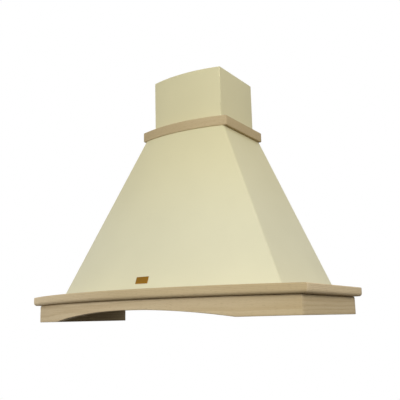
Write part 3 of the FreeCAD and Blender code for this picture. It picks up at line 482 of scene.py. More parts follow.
def glassMaterial(name, colour, rough):
    # frosted glass that lets a part of the light through
    made, tree, shader, out, coord = startMaterial(name, "mould", Grain_Scale=glassLook["frost"])
    frosted = mixed(tree, out["Tone"], linear(colour), linear(colour, glassLook["frostShade"]))
    feed(tree, shader.inputs["Base Color"], frosted)
    spread = weighed(tree, out["Tone"], glassLook["frostRough"])
    feed(tree, shader.inputs["Roughness"], maths(tree, "ADD", spread, rough))
    shader.inputs["Transmission Weight"].default_value = glassLook["through"]
    shader.inputs["Specular IOR Level"].default_value = glassLook["shine"]
    shader.inputs["IOR"].default_value = glassLook["bend"]
    addBump(tree, shader, out["Grain"], glassLook["depth"], glassLook["bump"])
    return made


# one cream paint: the yellower top colour is the same paint under painted warm light
creamCoat = {"foot": (212, 208, 178), "top": (212, 205, 166),
             "paintedWarmLightFrom": 0.1}  # height above the cap where the painted warm light starts
finishes = {
    "rawWood": woodMaterial("rawWood", "boardCoord", (177, 159, 121), (231, 213, 181), (168, 143, 104)),
    "dowelWood": woodMaterial("dowelWood", None, (186, 165, 128), (216, 192, 150), (160, 130, 88),
                              ring=0.002),
    "cream": paintMaterial("creamPaint", creamCoat["foot"], creamCoat["top"],
                           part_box("cap_front")[1].z + creamCoat["paintedWarmLightFrom"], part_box("band_front")[0].z),
    "galvanised": metalMaterial("galvanisedSheet", (176, 180, 184), 0.32, stretch=(60, 60, 60),
                                spangle=110.0),
    "liner": metalMaterial("brushedLiner", (186, 186, 184), 0.24, stretch=(7, 1100, 1100)),
    "spring": metalMaterial("springSteel", (150, 152, 156), 0.22, stretch=(500, 20, 500)),
    "screw": metalMaterial("zincScrew", (190, 192, 194), 0.25, stretch=(300, 300, 300)),
    "filterRail": metalMaterial("filterRail", (188, 190, 192), 0.3, stretch=(8, 8, 700)),
    "filterMesh": metalMaterial("filterMesh", (172, 174, 176), 0.3, stretch=(160, 160, 160),
                                stain=0.78),
    "brass": metalMaterial("brassPlate", (146, 105, 35), 0.26, stretch=(10, 1500, 1500), stain=0.8),
    "chrome": metalMaterial("satinChrome", (200, 201, 203), 0.16, stretch=(200, 200, 200)),
    "alloy": metalMaterial("lampAlloy", (170, 172, 174), 0.34, stretch=(90, 90, 400)),
    "motor": metalMaterial("motorShell", (142, 146, 150), 0.3, stretch=(500, 25, 25)),
    "glass": glassMaterial("frostedGlass", (240, 240, 236), 0.32),
    "fascia": plasticMaterial("fasciaPlastic", (46, 44, 42), 0.36),
    "button": plasticMaterial("buttonPlastic", (214, 206, 178), 0.34, grain=1800.0),
    "mark": plasticMaterial("printedMark", (70, 62, 50), 0.5, grain=2500.0),
    "black": plasticMaterial("blackPlastic", (34, 34, 35), 0.42, grain=900.0),
    "blower": plasticMaterial("blowerPlastic", (72, 75, 78), 0.44, grain=700.0),
    "impeller": plasticMaterial("impellerPlastic", (58, 60, 64), 0.4, grain=900.0),
    "flap": plasticMaterial("flapPlastic", (44, 45, 47), 0.45, grain=900.0),
    "rubber": plasticMaterial("bushRubber", (28, 28, 28), 0.68, grain=600.0, depth=0.0001,
                              shine=0.25),
    "capacitor": plasticMaterial("capacitorCase", (196, 198, 200), 0.38),
    "lead": plasticMaterial("leadSheath", (52, 53, 56), 0.5, grain=500.0),
}
print("materials made:", len(finishes))

nodeFinish = {  # the nodes that keep their own meshes
    "dowelWood": ["frame_dowels"],
    "galvanised": ["rear_panel", "chimney_bracket", "blower_brackets", "electrical_box",
                   "electrical_box_lid"],
    "liner": ["liner_pan"],
    "spring": ["filter_clips"],
    "screw": ["collar_screws", "damper_pin", "motor_shaft"],
    "alloy": ["lamp_left_module", "lamp_right_module"],
    "fascia": ["control_fascia"],
    "black": ["switch_block", "cable_gland", "outlet_collar"],
    "blower": ["blower_housing_left", "blower_housing_right"],
    "impeller": ["impeller"],
    "flap": ["damper_flap_front", "damper_flap_rear"],
    "motor": ["motor", "motor_spider"],
    "rubber": ["motor_bushes"],
    "capacitor": ["capacitor"],
    "lead": ["inner_leads"],
}
for finish, names in nodeFinish.items():
    for name in names:
        for slot in cadNodes[name].material_slots:
            slot.material = finishes[finish]


# Plans: half width, front radius and centre of a bowed outline

def bowPlan(halfWidth, crestY, cornerY):
    # circle through the crest and both corners: radius = (half width squared + bow squared) / twice the bow
    bow = cornerY - crestY
    radius = (halfWidth ** 2 + bow ** 2) / (2 * bow)
    return {"half": halfWidth, "radius": radius, "centre": crestY + radius}


def planOf(frontNode, sideNode):
    # half width and crest from the bowed front, corner from where the side starts
    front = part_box(frontNode)
    return bowPlan(front[1].x, front[0].y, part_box(sideNode)[0].y)


def insetPlan(plan, side, front=None):
    # same centre, with the half width and the radius cut down
    front = side if front is None else front
    return {"half": plan["half"] - side, "radius": plan["radius"] - front, "centre": plan["centre"]}


def bowY(plan, x):
    # the circle's front at a given x
    return plan["centre"] - np.sqrt(plan["radius"] ** 2 - np.square(x))


def bowPath(plan, share):
    # equal steps of angle round the bow, share -1 to 1 from corner to corner
    turn = np.asarray(share) * math.asin(plan["half"] / plan["radius"])
    return np.stack([plan["radius"] * np.sin(turn), plan["centre"] - plan["radius"] * np.cos(turn)], -1)


def endedShares(count, eased):
    # even shares of 0 to 1 with one short step at both ends
    return np.concatenate([[0], np.linspace(eased, 1 - eased, count), [1]])


# Wooden boards: a rounded section ruled between an outer and an inner path

def boardSection(radii, steps=6, flat=0.4):
    # four quarter circles, each between two short flats; every point is held to its own corner of the board
    rows = []
    corners = [(0, 0, 1, 1, 270), (0, 1, 1, -1, 180), (1, 1, -1, -1, 90), (1, 0, -1, 1, 360)]
    for (inner, top, inward, upward, turn), radius in zip(corners, radii):
        angle = np.radians(turn - np.linspace(0, 90, steps + 1))
        arc = radius * np.stack([inward + np.cos(angle), upward + np.sin(angle)], -1)
        ahead = radius * flat * np.stack([np.sin(angle), -np.cos(angle)], -1)
        arc = np.concatenate([arc[:1] - ahead[:1], arc, arc[-1:] + ahead[-1:]])
        rows.append(np.column_stack([arc, np.full(len(arc), inner), np.full(len(arc), top)]))
    return np.concatenate(rows)


def boardShell(outer, inner, low, high, width, section, ease, shift, tone=0.5):
    # each section point stands a share of the way from the outer to the inner path, eased in at both ends
    inwardFix, upFix, isInner, isTop = (section[:, k][:, None] for k in range(4))
    across = inner - outer
    eased = np.zeros(len(outer))
    eased[[0, -1]] = ease
    inward = inwardFix / width + isInner + eased / width * (1 - isInner)
    up = np.where(isTop > 0, high - eased, low + eased) + upFix
    flat = outer[None] + across[None] * inward[..., None]
    points = np.concatenate([flat, up[..., None]], -1)
    along = np.concatenate([[0], np.cumsum(np.linalg.norm(np.diff(outer, axis=0), axis=1))])
    tone = np.interp(along / along[-1], np.linspace(0, 1, np.size(tone)), np.atleast_1d(tone))
    along = np.broadcast_to(along - along[-1] / 2, up.shape)
    coords = np.stack([along, inward * width, up], -1) + np.asarray(shift)
    rows, cols = up.shape
    ends = [np.arange(rows)[None] * cols, np.arange(rows)[None] * cols + cols - 1]
    return shellOf(points, [gridFaces(rows, cols, wrapRows=True)] + ends, coords, tone)


def sidePath(plan, side, backY, shares):
    # straight run from the bow's corner back to the wall
    corner = bowY(plan, plan["half"])
    return np.stack([np.full(len(shares), side * plan["half"]), corner + (backY - corner) * shares], -1)


def frameBoards(label, outer, inner, low, high, sizes, backY, shares, frontPaths=None):
    # bowed front board and two straight side boards that meet it in mitres
    section = boardSection(sizes["radii"])
    frontOuter, frontInner = frontPaths or (bowPath(outer, 2 * shares - 1), bowPath(inner, 2 * shares - 1))
    lowEdge = sizes["lowEdge"](frontOuter[:, 0]) if "lowEdge" in sizes else low
    boards = {"front": boardShell(frontOuter, frontInner, lowEdge, high, sizes["width"], section,
                                  sizes["ease"], sizes["shifts"][0], sizes["tones"][0])}
    for name, side, k in (("left", -1, 1), ("right", 1, 2)):
        run = endedShares(sizes["sideSteps"], sizes["endShare"])
        boards[name] = boardShell(sidePath(outer, side, backY, run), sidePath(inner, side, backY, run),
                                  low, high, sizes["width"], section, sizes["ease"],
                                  sizes["shifts"][k], sizes["tones"][k])
    for name, shell in boards.items():
        addPiece("%s_%s_board" % (label, name), [shell], finishes["rawWood"],
                 replaced=["%s_%s" % (label, name)])


# a board's tones are given along it, on the front boards from the left end to the right; the cap front's,
# light at the left and dark at the right, is painted light from the left
capBoards = {"width": 0.110, "radii": (0.009, 0.003, 0.001, 0.001), "ease": 0.0005, "endShare": 0.003,
             "frontSteps": 90, "sideSteps": 24, "tones": ((0.95, 0.25, 0.12), 0.36, 0.63),
             "shifts": ((0.0, 0.0, 0.0), (1.7, 0.03, 0.02), (3.1, 0.01, 0.05))}
capPlan = planOf("cap_front", "cap_right")
capLow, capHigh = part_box("cap_front")
frameBoards("cap", capPlan, insetPlan(capPlan, capBoards["width"]), capLow.z, capHigh.z, capBoards,
            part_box("cap_right")[1].y, endedShares(capBoards["frontSteps"], capBoards["endShare"]))

# the apron front's tone, lighter towards its left end, is partly the wood's own tone and partly painted light
apronBoards = {"width": 0.020, "radii": (0.002, 0.005, 0.0004, 0.001), "ease": 0.0005, "endShare": 0.003,
               "sideSteps": 24, "archSteps": 70, "footSteps": 14, "archSpan": 0.579, "archRise": 0.0237,
               "tones": ((0.58, 0.5, 0.22), 0.36, 0.44),
               "shifts": ((5.3, 0.02, 0.3), (7.9, 0.04, 0.25), (9.2, 0.03, 0.28))}
apronPlan = planOf("apron_front", "apron_right")
apronInner = insetPlan(apronPlan, apronBoards["width"])
apronLow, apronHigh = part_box("apron_front")


def archEdge(x):
    # lower edge of the front apron: straight feet, then one circle arc between them
    half = apronBoards["archSpan"] / 2
    rise = apronBoards["archRise"]
    radius = (half ** 2 + rise ** 2) / (2 * rise)
    crown = np.sqrt(np.maximum(radius ** 2 - np.square(x), 0)) - radius + rise
    return apronLow.z + np.maximum(crown, 0)


def archedPath(plan):
    # steps along x with a break at both feet of the arch
    foot = apronBoards["archSpan"] / 2
    share = endedShares(apronBoards["footSteps"], apronBoards["endShare"])
    left = -plan["half"] + (plan["half"] - foot) * share
    middle = np.linspace(-foot, foot, apronBoards["archSteps"])
    x = np.concatenate([left, middle[1:-1], -left[::-1]])
    return np.stack([x, bowY(plan, x)], -1)


apronBoards["lowEdge"] = archEdge
frameBoards("apron", apronPlan, apronInner, apronLow.z, apronHigh.z, apronBoards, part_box("apron_right")[1].y,
            None, (archedPath(apronPlan), archedPath(apronInner)))

bandBoards = {"width": 0.0297, "radii": (0.003, 0.003, 0.0005, 0.0005), "ease": 0.0004, "endShare": 0.006,
              "frontSteps": 48, "sideSteps": 16, "gap": 0.0003, "chimneyBow": 0.0185,
              "tones": (0.21, 0.21, 0.21),
              "shifts": ((12.4, 0.02, 0.1), (14.0, 0.05, 0.12), (15.5, 0.01, 0.09))}
bandPlan = planOf("band_front", "band_right")
bandLow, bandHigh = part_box("band_front")
chimneyLow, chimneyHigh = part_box("lower_chimney")
chimneyPlan = bowPlan(chimneyHigh.x, chimneyLow.y, chimneyLow.y + bandBoards["chimneyBow"])
frameBoards("band", bandPlan, insetPlan(chimneyPlan, -bandBoards["gap"]), bandLow.z, bandHigh.z, bandBoards,
            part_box("band_right")[1].y, endedShares(bandBoards["frontSteps"], bandBoards["endShare"]))

battenBoard = {"radii": (0.0008, 0.0008, 0.0004, 0.0004), "ease": 0.0005, "shift": (20.0, 0.03, 0.2),
               "steps": 30}
battenLow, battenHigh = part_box("rear_batten")
battenX = np.linspace(battenLow.x, battenHigh.x, battenBoard["steps"])
battenFront = np.stack([battenX, np.full_like(battenX, battenLow.y)], -1)
battenBack = np.stack([battenX, np.full_like(battenX, battenHigh.y)], -1)
addPiece("rear_batten_board",
         [boardShell(battenFront, battenBack, battenLow.z, battenHigh.z, battenHigh.y - battenLow.y,
                     boardSection(battenBoard["radii"]), battenBoard["ease"], battenBoard["shift"])],
         finishes["rawWood"], replaced=["rear_batten"])
print("wooden boards made")


# Painted sheet: flat patterns of plan paths, thickened inwards

def bentCorner(before, corner, after, reach, steps=6):
    # parabola that leaves one side of a corner and joins the other
    t = np.linspace(0, 1, steps + 1)[:, None]
    start = corner + (before - corner) * reach / np.linalg.norm(before - corner)
    end = corner + (after - corner) * reach / np.linalg.norm(after - corner)
    return (1 - t) ** 2 * start + 2 * t * (1 - t) * corner + t ** 2 * end


sheetSizes = {"thickness": 0.0012, "bend": 0.003, "canopyBend": 0.007, "cornerReturn": 0.009,
              "lowFlange": 0.020, "highFlange": 0.033, "frontSteps": 64, "wallRows": 13, "sharp": 30}
canopyLedge = {"side": 0.083, "front": 0.080, "topBow": 0.0235, "bandSide": 0.010, "bandFront": 0.003}
canopyFoot = insetPlan(capPlan, canopyLedge["side"], canopyLedge["front"])
topCrest = bandLow.y + canopyLedge["bandFront"]
canopyTop = bowPlan(bandHigh.x - canopyLedge["bandSide"], topCrest, topCrest + canopyLedge["topBow"])
canopyFootZ = capHigh.z
canopyTopZ = bandLow.z


def wrappedFront(plan):
    # bow with both corners bent round and a short return on the side panels
    corner = np.array([plan["half"], bowY(plan, plan["half"])])
    inset = sheetSizes["canopyBend"] / (plan["radius"] * math.asin(plan["half"] / plan["radius"]))
    bow = bowPath(plan, np.linspace(-1 + inset, 1 - inset, sheetSizes["frontSteps"]))
    behind = corner + np.array([0, sheetSizes["cornerReturn"]])
    right = np.concatenate([bentCorner(bow[-1], corner, behind, sheetSizes["canopyBend"]), behind[None]])
    left = right[::-1] * np.array([-1, 1])
    return np.concatenate([left, bow[1:-1], right])


def sideRun(plan, side, backY):
    # straight run from the end of the front's return to the wall
    corner = bowY(plan, plan["half"])
    y = np.array([corner + sheetSizes["cornerReturn"], backY])
    return np.stack([np.full(2, side * plan["half"]), y], -1)


def canopyPanel(name, pathOf, centre, replaced):
    # lower flange, leaning wall and upper flange: straight lines between plan paths at two heights
    low = pathOf(canopyFoot)
    high = pathOf(canopyTop)
    lowInner = pathOf(insetPlan(canopyFoot, sheetSizes["lowFlange"]))
    highInner = pathOf(insetPlan(canopyTop, sheetSizes["highFlange"]))
    share = np.linspace(0, 1, sheetSizes["wallRows"])[:, None, None]
    wall = low + (high - low) * share
    flat = np.concatenate([lowInner[None], wall, highInner[None]])
    level = np.concatenate([[0], share.ravel(), [1]])
    height = canopyFootZ + (canopyTopZ - canopyFootZ) * level
    points = np.concatenate([flat, np.broadcast_to(height[:, None, None], flat.shape[:2] + (1,))], -1)
    rows, cols = flat.shape[:2]
    faces = facingOut(points.reshape(-1, 3), gridFaces(rows, cols), np.asarray(centre))
    piece = addPiece(name, [shellOf(points, [faces])], finishes["cream"],
                     replaced=replaced, sharp=sheetSizes["sharp"], solid=False)
    thicken(piece, sheetSizes["thickness"])


wallY = cadHigh.y
middle = (0, bandLow.y / 2, (canopyFootZ + canopyTopZ) / 2)  # a point inside the canopy
canopyPanel("canopy_front_panel", wrappedFront, middle, ["canopy_front"])
canopyPanel("canopy_left_panel", lambda plan: sideRun(plan, -1, wallY), middle, ["canopy_left"])
canopyPanel("canopy_right_panel", lambda plan: sideRun(plan, 1, wallY), middle, ["canopy_right"])


def chimneyPath(plan, backY, turnIn, breaks):
    # left return, left side, bowed front, right side and right return as one folded strip
    cornerY = bowY(plan, plan["half"])
    reach = sheetSizes["bend"]
    inset = reach / (plan["radius"] * math.asin(plan["half"] / plan["radius"]))
    bow = bowPath(plan, np.linspace(-1 + inset, 1 - inset, sheetSizes["frontSteps"] + 1))
    front = np.array([plan["half"], cornerY])
    back = np.array([plan["half"], backY])
    end = np.array([plan["half"] - turnIn, backY])
    run = np.array([[plan["half"], y] for y in breaks])
    right = np.concatenate([bentCorner(bow[-1], front, back, reach), run,
                            bentCorner(front, back, end, reach), end[None]])
    left = right[::-1] * np.array([-1, 1])
    return np.concatenate([left, bow[1:-1], right])


def chimneyPiece(name, plan, backY, low, high, sizes, body, replaced):
    # plan strip raised between two heights; quads inside the air slots are left out
    slotMiddle = (backY + bowY(plan, plan["half"])) / 2
    slotEnds = (slotMiddle - sizes["slotLength"] / 2, slotMiddle + sizes["slotLength"] / 2)
    strip = chimneyPath(plan, backY, sizes["turnIn"], slotEnds)
    tops = high - sizes["topMargin"] - np.arange(sizes["slots"]) * sizes["slotPitch"]
    levels = np.unique(np.concatenate([[low, high], tops, tops - sizes["slotHeight"]]))
    points = np.concatenate([np.broadcast_to(strip, (len(levels),) + strip.shape),
                             np.broadcast_to(levels[:, None, None], (len(levels), len(strip), 1))], -1)
    faces = gridFaces(len(levels), len(strip))
    flat = points.reshape(-1, 3)
    x, y, z = flat[faces].mean(1).T
    onSide = np.abs(x) > plan["half"] - sizes["sideZone"]
    inLength = np.abs(y - slotMiddle) < sizes["slotLength"] / 2
    inHeight = (z[:, None] < tops) & (z[:, None] > tops - sizes["slotHeight"])
    faces = faces[~(onSide & inLength & inHeight.any(1))]
    faces = facingOut(flat, faces, np.array([0, (backY + chimneyLow.y) / 2, (low + high) / 2]))
    piece = addPiece(name, [shellOf(points, [faces])], finishes["cream"], body=body,
                     replaced=replaced, sharp=sheetSizes["sharp"], solid=False)
    thicken(piece, sheetSizes["thickness"])


lowerChimney = {"turnIn": 0.0162, "slots": 0, "slotLength": 0.07, "slotHeight": 0.006, "slotPitch": 0.012,
                "topMargin": 0.022, "sideZone": 0.002}
upperChimney = dict(lowerChimney, slots=5)
upperLow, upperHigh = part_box("upper_chimney")
upperPlan = insetPlan(chimneyPlan, chimneyPlan["half"] - upperHigh.x)
chimneyPiece("lower_chimney_skin", chimneyPlan, chimneyHigh.y, chimneyLow.z, chimneyHigh.z, lowerChimney,
             "hood", ["lower_chimney"])
chimneyPiece("upper_chimney_skin", upperPlan, upperHigh.y, upperLow.z, upperHigh.z, upperChimney,
             "upper_chimney", ["upper_chimney"])
print("painted sheet made")


# Blank brass plate: pillowed edge and one shallow border line, lying on the canopy front

badgePlate = {"thickness": 0.0015, "edge": 0.0009, "line": 0.0022, "lineWidth": 0.0004, "lineDepth": 0.00025,
              "columns": 90, "rows": 48, "width": 0.040, "height": 0.019, "rise": 0.018}


def canopyFrontY(x, z):
    # the leaning front at a given x and height: blend of the bows at its foot and its top
    share = (z - canopyFootZ) / (canopyTopZ - canopyFootZ)
    part = x / (canopyFoot["half"] + (canopyTop["half"] - canopyFoot["half"]) * share)
    y = bowPath(canopyFoot, part)[..., 1]
    return y + (bowPath(canopyTop, part)[..., 1] - y) * share


def badgeShell(sizes):
    # height over the panel is a quarter circle near the rim, less a narrow groove at a set distance inside it
    x = np.linspace(-0.5, 0.5, sizes["columns"]) * sizes["width"]
    z = np.linspace(0, 1, sizes["rows"]) * sizes["height"]
    acrossX, acrossZ = np.meshgrid(x, z)
    fromSide = sizes["width"] / 2 - np.abs(acrossX)
    fromEnd = sizes["height"] / 2 - np.abs(acrossZ - sizes["height"] / 2)
    rim = np.maximum(np.minimum(fromSide, fromEnd), 0)
    curve = 1 - np.minimum(rim / sizes["edge"], 1)
    height = sizes["thickness"] * np.sqrt(1 - curve ** 2)
    height -= sizes["lineDepth"] * np.exp(-np.square((rim - sizes["line"]) / sizes["lineWidth"]))
    height = np.where(rim > 0, height, 0)
    level = canopyFootZ + sizes["rise"] + acrossZ
    seat = canopyFrontY(acrossX, level)
    face = np.stack([acrossX, seat - height, level], -1)
    back = np.stack([acrossX, seat, level], -1)
    faces = gridFaces(*height.shape)
    return shellOf(np.concatenate([face, back]), [faces, faces[:, ::-1] + height.size])


addPiece("badge_plate_face", [badgeShell(badgePlate)], finishes["brass"],
         replaced=["badge_plate"])
print("brass plate made")


# Grease filters: mitred rails with hang tabs and a pull lug, two layers of expanded mesh and a wire pull

filterSizes = {"rail": 0.014, "height": 0.010, "radii": (0.0022, 0.0022, 0.0012, 0.0012), "ease": 0.0002,
               "tabWidth": 0.025, "tabSpacing": 0.160, "tabReach": 0.011, "tabRoot": 0.004,
               "tabThickness": 0.002, "tabGap": 0.0003, "tabEdge": 0.0008,
               "lugWidth": 0.020, "lugDepth": 0.008, "lugHeight": 0.005, "lugRoot": 0.001, "lugEdge": 0.0012,
               "cellLength": 0.0085, "cellWidth": 0.0052, "strand": 0.0007, "strandHeight": 0.0011,
               "strandTilt": 0.25, "layers": (0.0036, 0.0052), "layerPhase": 0.25, "meshReach": 0.002,
               "meshSharp": 30, "wire": 0.0015, "pullWidth": 0.050, "pullDrop": 0.014, "pullCorner": 0.004,
               "pullSteps": 6, "railPoints": 3}


def filterRails(low, high, sizes):
    # four rails ruled between the outer and the inner rectangle, mitred at the corners
    outer = np.array([[low.x, low.y], [high.x, low.y], [high.x, high.y], [low.x, high.y]])
    inner = outer + sizes["rail"] * np.array([[1, 1], [-1, 1], [-1, -1], [1, -1]])
    share = np.linspace(0, 1, sizes["railPoints"])[:, None]
    section = boardSection(sizes["radii"], steps=4)
    rails = []
    for corner in range(4):
        start, end = corner, (corner + 1) % 4
        outside = outer[start] + (outer[end] - outer[start]) * share
        inside = inner[start] + (inner[end] - inner[start]) * share
        shell = boardShell(outside, inside, low.z, low.z + sizes["height"], sizes["rail"], section,
                           sizes["ease"], (0, 0, 0))
        rails.append(dict(shell, coords=None))
    return rails


def expandedLayer(x0, x1, y0, y1, z, sizes, phase):
    # strands run along x as triangle waves; every other one is half a cell behind, so they meet in diamonds
    rows = int(round((y1 - y0) / sizes["cellWidth"]))
    cellsAlong = int(round((x1 - x0) / sizes["cellLength"]))
    step = (y1 - y0) / rows
    along = np.linspace(0, cellsAlong, 4 * cellsAlong + 1)  # four points a cell
    strand = np.arange(rows)[:, None]
    wave = np.abs(((along + phase + 0.5 * (strand % 2)) % 1) - 0.5) * 4 - 1
    x = x0 + (x1 - x0) * along / cellsAlong + np.zeros_like(wave)
    y = y0 + (strand + 0.5) * step + wave * (step / 2 - sizes["strand"] / 2)
    tilt = wave * sizes["strandHeight"] * sizes["strandTilt"]
    ring = np.array([[-1, -1], [1, -1], [1, 1], [-1, 1]]) * 0.5
    points = np.stack([np.repeat(x[..., None], 4, -1),
                       y[..., None] + ring[:, 0] * sizes["strand"],
                       z + tilt[..., None] + ring[:, 1] * sizes["strandHeight"]], -1)
    cols = len(along)
    single = gridFaces(cols, 4, wrapCols=True)
    ends = np.array([[0, 1, 2, 3], [cols * 4 - 1, cols * 4 - 2, cols * 4 - 3, cols * 4 - 4]])
    single = np.concatenate([single, ends])
    faces = (single[None] + (np.arange(rows) * cols * 4)[:, None, None]).reshape(-1, 4)
    return shellOf(points, [faces])


def pullLoop(x, y, z, sizes):
    # rounded rectangle of wire that hangs from the lug
    half = sizes["pullWidth"] / 2
    corner = sizes["pullCorner"]
    quarter = np.linspace(0, np.pi / 2, sizes["pullSteps"] + 1)
    parts = []
    for sx, sz, turn in ((1, 1, 0), (-1, 1, 1), (-1, -1, 2), (1, -1, 3)):
        angle = quarter + turn * np.pi / 2
        middleX = sx * (half - corner)
        middleZ = sz * (sizes["pullDrop"] / 2 - corner)
        parts.append(np.stack([middleX + corner * np.cos(angle), middleZ + corner * np.sin(angle)], -1))
    loop = np.concatenate(parts)
    return np.stack([x + loop[:, 0], np.full(len(loop), y), z - sizes["pullDrop"] / 2 + loop[:, 1]], -1)


linerFoot, linerTop = (corner.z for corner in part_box("liner_pan"))
for side in ("left", "right"):
    body = "filter_" + side
    meshLow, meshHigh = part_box("filter_%s_mesh" % side)
    rail = filterSizes["rail"]
    low = Vector((meshLow.x - rail, meshLow.y - rail, linerFoot))
    high = Vector((meshHigh.x + rail, meshHigh.y + rail, linerFoot + filterSizes["height"]))
    centreX = (low.x + high.x) / 2
    shells = filterRails(low, high, filterSizes)
    tabHalf = filterSizes["tabWidth"] / 2
    tabZ = linerTop + filterSizes["tabGap"]
    for tabX in (centreX - filterSizes["tabSpacing"] / 2, centreX + filterSizes["tabSpacing"] / 2):
        shells.append(roundedBox((tabX - tabHalf, high.y - filterSizes["tabRoot"], tabZ),
                                 (tabX + tabHalf, high.y + filterSizes["tabReach"],
                                  tabZ + filterSizes["tabThickness"]), filterSizes["tabEdge"]))
    pullY = low.y + rail / 2
    lug = (filterSizes["lugWidth"] / 2, filterSizes["lugDepth"] / 2)
    shells.append(roundedBox((centreX - lug[0], pullY - lug[1], low.z - filterSizes["lugHeight"]),
                             (centreX + lug[0], pullY + lug[1], low.z + filterSizes["lugRoot"]),
                             filterSizes["lugEdge"]))
    addPiece("filter_%s_rails" % side, shells, finishes["filterRail"], body=body,
             replaced=["filter_%s_frame" % side])
    reach = filterSizes["meshReach"]
    layers = [expandedLayer(meshLow.x - reach, meshHigh.x + reach, meshLow.y - reach, meshHigh.y + reach,
                            low.z + lift, filterSizes, index * filterSizes["layerPhase"])
              for index, lift in enumerate(filterSizes["layers"])]
    addPiece("filter_%s_expanded_mesh" % side, layers, finishes["filterMesh"], body=body,
             replaced=["filter_%s_mesh" % side], sharp=filterSizes["meshSharp"])
    loop = pullLoop(centreX, pullY, low.z - filterSizes["lugHeight"] / 2, filterSizes)
    addPiece("filter_%s_wire_pull" % side, [tubeAlong(loop, filterSizes["wire"], closed=True)],
             finishes["spring"], body="pull_" + side,
             replaced=["filter_%s_pull" % side])
print("grease filters made")


# Liner screws: crowned heads with a cross recess, on plain shanks

screwSizes = {"head": 0.0042, "height": 0.0022, "crown": 0.0008, "shank": 0.002, "length": 0.014,
              "cross": 0.0026, "arm": 0.0006, "soft": 0.0003, "depth": 0.0011, "rings": 22, "steps": 72,
              "inset": 0.075, "pitch": 0.220, "sideStart": 0.110}


def screwShell(x, y, sizes):
    # rings of a low crown, pushed up inside a cross of two bars, then the rim, the seat and the shank
    turn = np.linspace(0, 2 * np.pi, sizes["steps"], endpoint=False)
    ring = np.linspace(0, sizes["head"], sizes["rings"])[:, None]
    u, v = np.abs(ring * np.cos(turn)), np.abs(ring * np.sin(turn))
    longest, narrowest = np.maximum(u, v), np.minimum(u, v)
    bar = np.clip((sizes["arm"] - narrowest) / sizes["soft"] + 0.5, 0, 1)
    bar *= np.clip((sizes["cross"] - longest) / sizes["soft"] + 0.5, 0, 1)
    crown = sizes["crown"] * np.square(ring / sizes["head"]) - sizes["height"] + sizes["depth"] * bar
    behind = np.array([(sizes["head"], 0), (sizes["shank"], 0), (sizes["shank"], sizes["length"]),
                       (0, sizes["length"])])
    radius = np.concatenate([ring, behind[:, :1]])
    height = np.concatenate([crown, np.repeat(behind[:, 1:], len(turn), 1)])
    points = np.stack([x + radius * np.cos(turn), y + radius * np.sin(turn), linerFoot + height], -1)
    return shellOf(points, [gridFaces(len(radius), len(turn), wrapCols=True)])


screwLine = insetPlan(capPlan, screwSizes["inset"])
screwX = np.array([-1, 0, 1]) * screwSizes["pitch"]
screwPlaces = list(zip(screwX, bowY(screwLine, screwX)))
screwPlaces += [(side * screwLine["half"], -screwSizes["sideStart"] - step * screwSizes["pitch"])
                for step in (0, 1) for side in (-1, 1)]
addPiece("liner_cross_screws", [screwShell(x, y, screwSizes) for x, y in screwPlaces],
         finishes["screw"], replaced=["liner_screws"])
print("liner screws made")


# Lamps: turned bezels and slightly domed lenses

lampSizes = {"edge": 0.0012, "window": 0.020, "barrelWall": 0.002, "sharp": 50, "dome": 0.00054,
             "lensGap": 0.0002, "lensLip": 0.001, "lensRings": 14}


def quarterArc(r, z, radius, start, steps=5):
    # quarter circle of a turned profile, from a start angle in degrees
    angle = np.radians(start + np.linspace(0, 90, steps + 1))
    return np.stack([r + radius * np.cos(angle), z + radius * np.sin(angle)], -1)


for side in ("left", "right"):
    low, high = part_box("lamp_%s_bezel" % side)
    lensLow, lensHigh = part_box("lamp_%s_lens" % side)
    centre = np.array([(low.x + high.x) / 2, (low.y + high.y) / 2, 0])
    flange = (high.x - low.x) / 2
    edge = lampSizes["edge"]
    window = lampSizes["window"]
    seat = lensLow.z
    lens = (lensHigh.x - lensLow.x) / 2
    barrel = lens + lampSizes["lensGap"]
    outer = barrel + lampSizes["barrelWall"]
    profile = np.concatenate([
        quarterArc(window + edge, low.z + edge, edge, 180),
        quarterArc(flange - edge, low.z + edge, edge, 270),
        [[flange, seat], [outer, seat], [outer, high.z], [barrel, high.z], [barrel, seat], [window, seat]],
    ])
    profile = np.concatenate([profile, profile[:1]])
    addPiece("lamp_%s_turned_bezel" % side, [lathe(profile, centre, steps=96)], finishes["chrome"],
             replaced=["lamp_%s_bezel" % side], sharp=lampSizes["sharp"])
    radius = np.linspace(0, lens, lampSizes["lensRings"])
    sag = lampSizes["dome"] * (1 - np.square(radius / lens))  # parabola inside the window, flat on the lip
    face = np.stack([radius, seat - np.where(radius < window - lampSizes["lensLip"], sag, 0)], -1)
    back = np.stack([radius[::-1], np.full(len(radius), lensHigh.z)], -1)
    addPiece("lamp_%s_domed_lens" % side, [lathe(np.concatenate([face, back]), centre, steps=64)],
             finishes["glass"], replaced=["lamp_%s_lens" % side])
print("lamps made")


# Push buttons: soft-edged caps with a rim and a stem, and a plain raised mark on each

buttonSizes = {"edge": 0.0016, "root": 0.001, "rim": 0.0015, "rimEdge": 0.0004, "rimWidth": 0.0015,
               "stem": 0.003, "stemEdge": 0.0005, "markHeight": 0.0003, "markEdge": 0.00027, "bar": 0.0012,
               "barLength": 0.006, "barPitch": 0.0028, "ring": 0.0026, "lightRing": 0.00156,
               "ringWire": 0.0005, "ringSteps": 36, "ray": 0.0016, "rayWire": 0.0004, "rays": 8}
buttonBars = {"low_speed_button": 1, "medium_speed_button": 2, "high_speed_button": 3}


def ringMark(x, y, z, radius, sizes):
    # round wire along a circle, half sunk in the face
    turn = np.linspace(0, 2 * np.pi, sizes["ringSteps"], endpoint=False)
    loop = np.stack([x + radius * np.cos(turn), y + radius * np.sin(turn), np.full(len(turn), z)], -1)
    return tubeAlong(loop, sizes["ringWire"], closed=True, sides=8)


